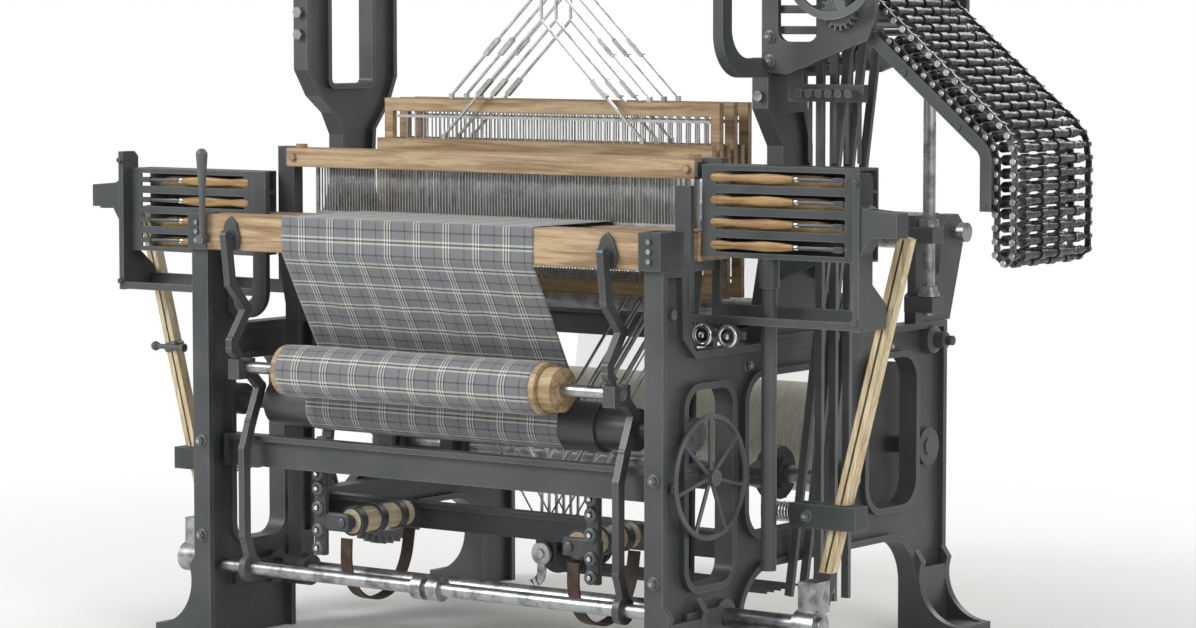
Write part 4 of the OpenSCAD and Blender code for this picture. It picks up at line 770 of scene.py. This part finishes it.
# Studs with nuts and washers on the castings and on the sticks' iron straps: each is three profiles carried
# round its axis, and places are (x, y, z) on the face
studStyle = {
    "nut": [(0.0, 0.0098), (0.0012, 0.0104), (0.0075, 0.0104), (0.0085, 0.0090)],
    "washer": [(0.0, 0.0135), (0.0016, 0.0135), (0.0022, 0.0126)],
    "end": [(0.0, 0.0052), (0.0125, 0.0052), (0.0135, 0.0042)],
    "faces": {
        "frontPosts": ("frame", (0, -1, 0),
                       [(x, -0.590, z) for x in (-0.612, 0.612) for z in (0.235, 0.445)]),
        "rightFrame": ("frame", (1, 0, 0), [(0.6192, y, 0.655) for y in (-0.26, 0.30)]),
        "leftFrame": ("frame", (-1, 0, 0), [(-0.6192, y, 0.655) for y in (-0.26, 0.30)]),
        "head": ("frame", (0, -1, 0), [(0.664, -0.2481, z) for z in (1.60, 1.34, 1.29)]),
        "stickRight": ("pick_r", (0, -1, 0), [(0.812, -0.3302, 0.361)]),
        "stickLeft": ("pick_l", (0, -1, 0), [(-0.812, -0.3302, 0.361)]),
    }}


def makeStuds(style=studStyle):
    lift = style["washer"][-1][0]
    parts = {"washer": (0, ironWornPaintedHighlight, "cast_iron", 20), "nut": (lift, ironWornPaintedHighlight, "cast_iron", 6),
             "end": (0, rodSteel, "steel", 12)}
    for name, (body, axis, places) in style["faces"].items():
        for part, (out, finish, slotName, sides) in parts.items():
            base = np.array(places) + np.array(axis) * out
            addTurned(f"{name}{part.capitalize()}", base, axis, style[part], finish, body, sides)


makeBoxFronts()
makeStuds()
print("power loom: box fronts and studs ready")


# Low between the frames, at both sides: a hanger of three blocks under the front girt with its bolt eyes,
# the wooden roller with iron bands that runs back from it on a pin, and the leather check strap, a flat
# section carried along a loop under the rocker shaft. The arm's corners are from the pin and the post, those
# of the post and the foot from the hanger's place on the floor, and the strap's points are (y, z)
lowStyle = {"x": 0.31, "z": 0.272, "front": -0.452, "back": -0.232, "radius": 0.028, "pinOut": 0.024,
            "endGap": 0.012, "bands": (0.02, 0.44, 0.86), "bandRun": 0.05, "hanger": 0.372, "out": 0.020,
            "arm": ((-0.018, -0.018, -0.020), (0.018, -0.002, 0.020)),
            "post": ((-0.016, -0.020, 0.196), (0.016, -0.004, 0.404)),
            "foot": ((-0.030, -0.060, 0.388), (0.030, -0.004, 0.402)),
            "eyes": (0.212, 0.252, 0.302, 0.345, 0.378),
            "eye": [(0, 0.015), (0.008, 0.015), (0.010, 0.012), (0.010, 0.008), (0.004, 0.007)],
            "pin": [(0.003, 0.0055), (0.013, 0.0055), (0.014, 0.0042)],
            "strap": [(-0.452, 0.236), (-0.455, 0.170), (-0.425, 0.112), (-0.360, 0.088), (-0.290, 0.104),
                      (-0.245, 0.165), (-0.232, 0.236)],
            "strapWide": 0.030, "strapThick": 0.005, "strapBend": 0.05, "strapStep": 0.008}


def makeRoller(x, side, style=lowStyle):
    front, z, r, gap = style["front"], style["z"], style["radius"], style["endGap"]
    long = style["back"] - front
    wood = [(gap, r - 0.004), (gap + 0.004, r), (long - gap - 0.004, r), (long - gap, r - 0.004)]
    addTurned(f"lowRoller{side}", [(x, front, z)], (0, 1, 0), wood, paleWood, "frame", 40)
    for i, share in enumerate(style["bands"]):
        a = gap + share * (long - style["bandRun"])
        band = [(a, r + 0.0002), (a, r + 0.0035), (a + 0.001, r + 0.0045), (a + 0.021, r + 0.0045),
                (a + 0.022, r + 0.0035), (a + 0.022, r + 0.0002)]
        addTurned(f"lowBand{side}{i + 1}", [(x, front, z)], (0, 1, 0), band, iron, "frame", 40)
    pin = [(0, 0.007), (0.002, 0.010), (0.034, 0.010), (0.036, 0.017), (0.040, 0.017), (long + 0.012, 0.017),
           (long + 0.016, 0.010), (long + 0.036, 0.010)]
    start = (x, front - style["pinOut"], z)
    addTurned(f"lowRollerPin{side}", [start], (0, 1, 0), pin, ironWornPaintedHighlight, "frame", 24)


def makeHanger(x, hang, side, style=lowStyle):
    front, z, floor = style["front"], style["z"], (hang, style["front"], 0)
    blocks = [("arm", (min(x, hang), front, z), (max(x, hang), front, z)), ("post", floor, floor),
              ("foot", floor, floor)]
    for i, (part, lowFrom, highFrom) in enumerate(blocks):
        low, high = np.array(style[part]) + (lowFrom, highFrom)
        addBlock(f"lowHanger{side}{i + 1}", low, high, iron, "frame", 0.004)
    places = [(hang, front - style["out"], height) for height in style["eyes"]]
    addTurned(f"hangerEyes{side}", places, (0, -1, 0), style["eye"], ironWornPaintedHighlight, "frame", 20)
    addTurned(f"hangerPins{side}", places, (0, -1, 0), style["pin"], brightSteel, "frame", 12)


def makeLowGear(style=lowStyle):
    for s, side in ((-1, "Left"), (1, "Right")):
        x = s * style["x"]
        makeRoller(x, side)
        makeHanger(x, s * style["hanger"], side)
        path = roundedPath([(x, *place) for place in style["strap"]], style["strapBend"], style["strapStep"])
        addStrap(f"checkStrap{side}", path, (1, 0, 0), style["strapWide"], style["strapThick"], leather,
                 "frame")


makeLowGear()
print("power loom: low gear ready")


# Fittings of the pattern chain. Its path by length is that of the CAD chain: round the drum, down the
# slope, round the bend, straight down, round the bottom and back beneath, each stretch a line or an arc
# worked out for all bars. Places are (x, z), and the angles of the slope and the start are in degrees
chainStyle = {"drum": (0.841, 1.395), "run": 0.0513, "slope": 40, "slopeLong": 0.415, "bend": 0.096,
              "drop": 0.185, "turn": 0.020, "pitch": 0.027, "startAngle": 95, "backShort": 0.090,
              "y": (-0.220, 0.100), "sleeve": 0.0082, "roller": 0.0109, "rollerY": 0.030,
              "sleeves": [(-0.155, -0.113), (-0.085, -0.043), (-0.015, 0.027), (0.054, 0.068)],
              "eye": [(0, 0.0064), (0.0012, 0.0070), (0.0022, 0.0062), (0.0022, 0.0044), (0.0012, 0.0040),
                      (0.0034, 0.0032)],
              "sleeveMore": 0.0006, "trough": 0.0565, "troughFrom": 0.075, "troughDrop": 0.55,
              "strip": (0.026, 0.004), "beside": 0.009, "bendPoints": 9}


# Places in X and Z from a centre: the radius times the cosine and the sine of each angle
def polar(radius, angle):
    return radius * np.stack([np.cos(angle), np.sin(angle)], -1)


# Angle at which the chain leaves the drum, the direction of the slope, and the lengths at which the
# stretches end
def chainCourse(style=chainStyle):
    leave = math.radians(90 - style["slope"])
    r, b, t, drop = style["run"], style["bend"], style["turn"], style["drop"]
    ends = np.cumsum([r * (math.radians(style["startAngle"]) - leave), style["slopeLong"], b * leave, drop,
                      t * math.pi, drop, (b - 2 * t) * leave])
    return leave, polar(1, math.radians(-style["slope"])), ends


def chainPath(s, style=chainStyle):
    leave, down, ends = chainCourse(style)
    r, b, t = style["run"], style["bend"], style["turn"]
    drum = np.array(style["drum"])
    slopeTop = drum + polar(r, leave)
    middle = slopeTop + style["slopeLong"] * down - polar(b, leave)
    dropTop = middle + (b, 0)
    s = np.asarray(s, float)
    on = [s - e for e in (0, *ends)]  # length on each stretch
    runs = [drum + polar(r, math.radians(style["startAngle"]) - on[0] / r), slopeTop + on[1][:, None] * down,
            middle + polar(b, leave - on[2] / b), dropTop - on[3][:, None] * (0, 1),
            dropTop - (t, style["drop"]) + polar(t, -on[4] / t),
            dropTop - (2 * t, style["drop"]) + on[5][:, None] * (0, 1),
            middle + polar(b - 2 * t, on[6] / (b - 2 * t)),
            middle + polar(b - 2 * t, leave) - on[7][:, None] * down]
    return np.select([(s < e)[:, None] for e in ends], runs[:-1], runs[-1])


def makeChainFittings(style=chainStyle):
    leave, down, ends = chainCourse(style)
    total = ends[-1] + style["slopeLong"] - style["backShort"]
    count = np.arange(int(total / style["pitch"]) + 1)
    bars = chainPath(count * style["pitch"])
    for k, (y0, y1) in enumerate(style["sleeves"]):
        long, r = y1 - y0, style["sleeve"] + style["sleeveMore"] * (k % 2)
        sleeve = [(0, r - 0.0022), (0.0015, r - 0.0006), (0.003, r), (long - 0.003, r),
                  (long - 0.0015, r - 0.0006), (long, r - 0.0022)]
        addTurned(f"chainSleeves{k + 1}", np.insert(bars, 1, y0, axis=1), (0, 1, 0), sleeve, chainIron,
                  "frame", 12)
    pick = (count * 7 + count // 3) % 5 < 3  # a lifting roller where the pattern calls
    for name, chosen, r in (("chainRollers", pick, style["roller"]), ("chainTubes", ~pick, style["sleeve"])):
        addTurned(name, np.insert(bars[chosen], 1, style["rollerY"], axis=1), (0, 1, 0),
                  [(0, r - 0.0015), (0.0015, r), (0.0205, r), (0.022, r - 0.0015)], chainIron, "frame",
                  14)
    for side, y, out in (("Front", style["y"][0], -1), ("Back", style["y"][1], 1)):
        addTurned(f"chainEyes{side}", np.insert(bars, 1, y - out * 0.0004, axis=1), (0, out, 0), style["eye"],
                  eyeSteel, "frame", 12)
    makeTroughSides(leave, down, ends[0])


# Side strips of the trough: flat bars carried down the slope, round the bend and part of the way down, a
# trough's depth inside the chain's path
def makeTroughSides(leave, down, slopeAt, style=chainStyle):
    depth, b = style["trough"], style["bend"]
    out = polar(1, leave)
    begin = chainPath([slopeAt + 1e-6])[0]  # just past the drum
    middle = begin + style["slopeLong"] * down - b * out
    arc = middle + polar(b - depth, np.linspace(leave, 0, style["bendPoints"]))
    start = begin - depth * out + style["troughFrom"] * down
    end = arc[-1] - (0, style["drop"] * style["troughDrop"])
    line = np.concatenate([[start], arc, [end]])
    for side, y, away in (("Front", style["y"][0], -1), ("Back", style["y"][1], 1)):
        path = np.insert(line, 1, y + away * style["beside"], axis=1)
        run = np.gradient(path, axis=0)
        across = np.stack([-run[:, 2], run[:, 1] * 0, run[:, 0]], 1)
        across /= np.linalg.norm(across, axis=1, keepdims=True)
        addStrap(f"troughSide{side}", path, across, *style["strip"], iron, "frame", "cast_iron")


makeChainFittings()
print("power loom: chain fittings ready")


# The two guide rings of the right lay end: bright rims and pins. A rim is a ring whose radius is big plus
# small times the cosine of the section's angle, and its depth is a share of small times the sine
ringStyle = {"places": [(x, -0.4524, 0.733) for x in (0.636, 0.698)], "big": 0.0195, "small": 0.0044,
             "depth": 0.6, "grid": (40, 10), "pin": [(0, 0.0068), (0.0045, 0.0068), (0.006, 0.0045)]}


def makeGuideRings(style=ringStyle):
    rows, columns = style["grid"]
    a, b = np.meshgrid(np.arange(rows) * 2 * np.pi / rows, np.arange(columns) * 2 * np.pi / columns,
                       indexing="ij")
    r = style["big"] + style["small"] * np.cos(b)
    out = style["small"] * style["depth"] * np.sin(b)
    for i, (x, y, z) in enumerate(style["places"]):
        rim = np.stack([x + r * np.cos(a), y + out, z + r * np.sin(a)], 2)
        addPiece(f"guideRim{i + 1}", rim, gridFaces(rows, columns, True, True), brightSteel, "lay")
    addTurned("guidePins", style["places"], (0, -1, 0), style["pin"], brightSteel, "lay")


# On each picking stick a dark seam that follows its lean and a coil spring, a wire carried along a helix of
# (from x, to x, y, z). The left stick has a collar with a knobbed pin across it
stickStyle = {"foot": (0.840, 0.205), "lean": math.radians(14.8), "face": -0.3184, "seam": (0.0042, 0.0008),
              "seams": [(0.247, 0.334), (0.389, 0.935)], "spring": (0.722, 0.766, -0.306, 0.364),
              "coil": 0.0195, "wire": 0.0026, "turns": 6, "perTurn": 24,
              "collarAt": (-0.306, 0.617), "tall": 0.024, "collar": (0.040, 0.034),
              "pinFrom": (-0.050, -0.020),
              "pin": [(0, 0.004), (0.003, 0.009), (0.010, 0.0115), (0.017, 0.009), (0.020, 0.006),
                      (0.090, 0.006), (0.092, 0.010), (0.100, 0.010), (0.102, 0.004)]}


# Distance from the middle plane at which a stick stands at that height
def stickAt(height, style=stickStyle):
    x, z = style["foot"]
    return x + (height - z) * math.tan(style["lean"])


def makeStick(s, body, side, style=stickStyle):
    lean, r = style["lean"], style["coil"]
    for i, heights in enumerate(style["seams"]):
        path = [(s * stickAt(height), style["face"], height) for height in heights]
        across = (s * math.cos(lean), 0, -math.sin(lean))
        addStrap(f"stickSeam{side}{i + 1}", path, across, *style["seam"], leather, body)
    x0, x1, y, z = style["spring"]
    t = np.linspace(0, 1, style["perTurn"] * style["turns"] + 1)
    turn = t * style["turns"] * 2 * np.pi
    coil = np.stack([s * (x0 + (x1 - x0) * t), y + r * np.cos(turn), z + r * np.sin(turn)], 1)
    addThreads(f"stickSpring{side}", coil[None], style["wire"], brightSteel, body, 8)


def makeCollar(style=stickStyle):
    (y, z), half, lean = style["collarAt"], style["tall"] / 2, style["lean"]
    x = -stickAt(z)
    path = [(x - h * math.sin(lean), y, z + h * math.cos(lean)) for h in (-half, half)]
    addStrap("stickCollar", path, (math.cos(lean), 0, math.sin(lean)), *style["collar"], ironWornPaintedHighlight, "pick_l",
             "cast_iron")
    beside, before = style["pinFrom"]
    addTurned("stickPin", [(x + beside, y + before, z)], (1, 0, 0), style["pin"], ironWornPaintedHighlight, "pick_l",
              20)


# Bosses at the rear corners of the side frames, turned forms like the studs
bossStyle = {"place": (0.6192, 0.461, 0.660),
             "profile": [(0, 0.034), (0.022, 0.031), (0.028, 0.020), (0.052, 0.018), (0.054, 0.011),
                         (0.070, 0.011), (0.072, 0.008)]}


def makeBoss(s, side, style=bossStyle):
    place = np.array(style["place"]) * (s, 1, 1)
    addTurned(f"rearBoss{side}", [place], (s, 0, 0), style["profile"], iron, "frame", 28)


# Inside the head: the slotted guide's bars behind the near bearing plate, and the short shaft with its bevel
# pinion that takes the drive from the upright shaft to the far plate
headStyle = {"bars": 6, "x": (0.668, 0.792), "y": (-0.2359, -0.214), "low": 1.345, "step": 0.043,
             "tall": 0.017, "shaft": (0.668, 0.127, 1.5565),
             "bevel": [(0, 0.022), (0.014, 0.022), (0.017, 0.0115), (0.226, 0.0115), (0.228, 0.021),
                       (0.238, 0.0235), (0.258, 0.012)]}


def makeHeadDetails(style=headStyle):
    for i in range(style["bars"]):
        z = style["low"] + i * style["step"]
        low, high = zip(style["x"], style["y"], (z, z + style["tall"]))
        addBlock(f"headBar{i + 1}", low, high, iron, "frame", 0.002)
    addTurned("bevelShaft", [style["shaft"]], (0, 1, 0), style["bevel"], ironWornPaintedHighlight, "frame", 28)


# Lower harness wires: from the bottom bar of each frame two wires run to an eye above the low sheave, each
# through a coil spring, drawn as a ribbed sleeve whose radius goes up and down from point to point
lowWires = {"spread": 0.36, "top": 0.775, "apex": 0.247, "radius": 0.002, "spring": (0.10, 0.20),
            "ribs": 10, "rib": (0.0042, 0.0014), "halfEye": 0.005,
            "eye": [(0, 0.006), (0.002, 0.009), (0.008, 0.009), (0.010, 0.006)]}


def makeLowWires(style=lowWires):
    start, end = style["spring"]
    t = np.linspace(0, 1, 2 * style["ribs"] + 1)
    thin, more = style["rib"]
    spring = np.stack([t * (end - start), thin + more * (np.arange(len(t)) % 2)], 1)
    for k in range(harnessStyle["count"]):
        y, lift, body = warpAt(k)[1], frameLift(k), f"harness{k + 1}"
        apex = np.array([0, y, style["apex"] + lift])
        paths = [[(s * style["spread"], y, style["top"] + lift), apex] for s in (-1, 1)]
        addThreads(f"lowWires{k + 1}", paths, style["radius"], wireSteel, body, 6)
        place = apex - (0, style["halfEye"], 0)
        addTurned(f"lowEye{k + 1}", [place], (0, 1, 0), style["eye"], eyeSteel, body)
        for s, side in ((-1, "Left"), (1, "Right")):
            run = np.array([s * style["spread"], 0, style["top"] - style["apex"]])
            run /= np.linalg.norm(run)
            addTurned(f"lowSpring{side}{k + 1}", [apex + start * run], run, spring, wireSteel, body,
                      10)


# The bright hook that hangs from the low sheave, a flat section carried along a bent path, and the sheave's
# cap
hookStyle = {"path": [(0.045, -0.2105, 0.205), (0.045, -0.2105, 0.150), (0.014, -0.2105, 0.132)],
             "bend": 0.02, "step": 0.006, "section": (0.008, 0.020), "capAt": (0.045, -0.206, 0.205),
             "cap": [(0, 0.024), (0.008, 0.026), (0.011, 0.024), (0.011, 0.012), (0.015, 0.010)]}


def makeHook(style=hookStyle):
    path = roundedPath(style["path"], style["bend"], style["step"])
    addStrap("sheaveHook", path, (0, 1, 0), *style["section"], brightSteel, "frame", "steel")
    addTurned("sheaveCap", [style["capAt"]], (0, -1, 0), style["cap"], eyeSteel, "frame", 28)


makeGuideRings()
for s, body, side in ((1, "pick_r", "Right"), (-1, "pick_l", "Left")):
    makeStick(s, body, side)
    makeBoss(s, side)
makeCollar()
makeHeadDetails()
makeLowWires()
makeHook()
print("power loom: side and head details ready")


print("power loom: scene ready")
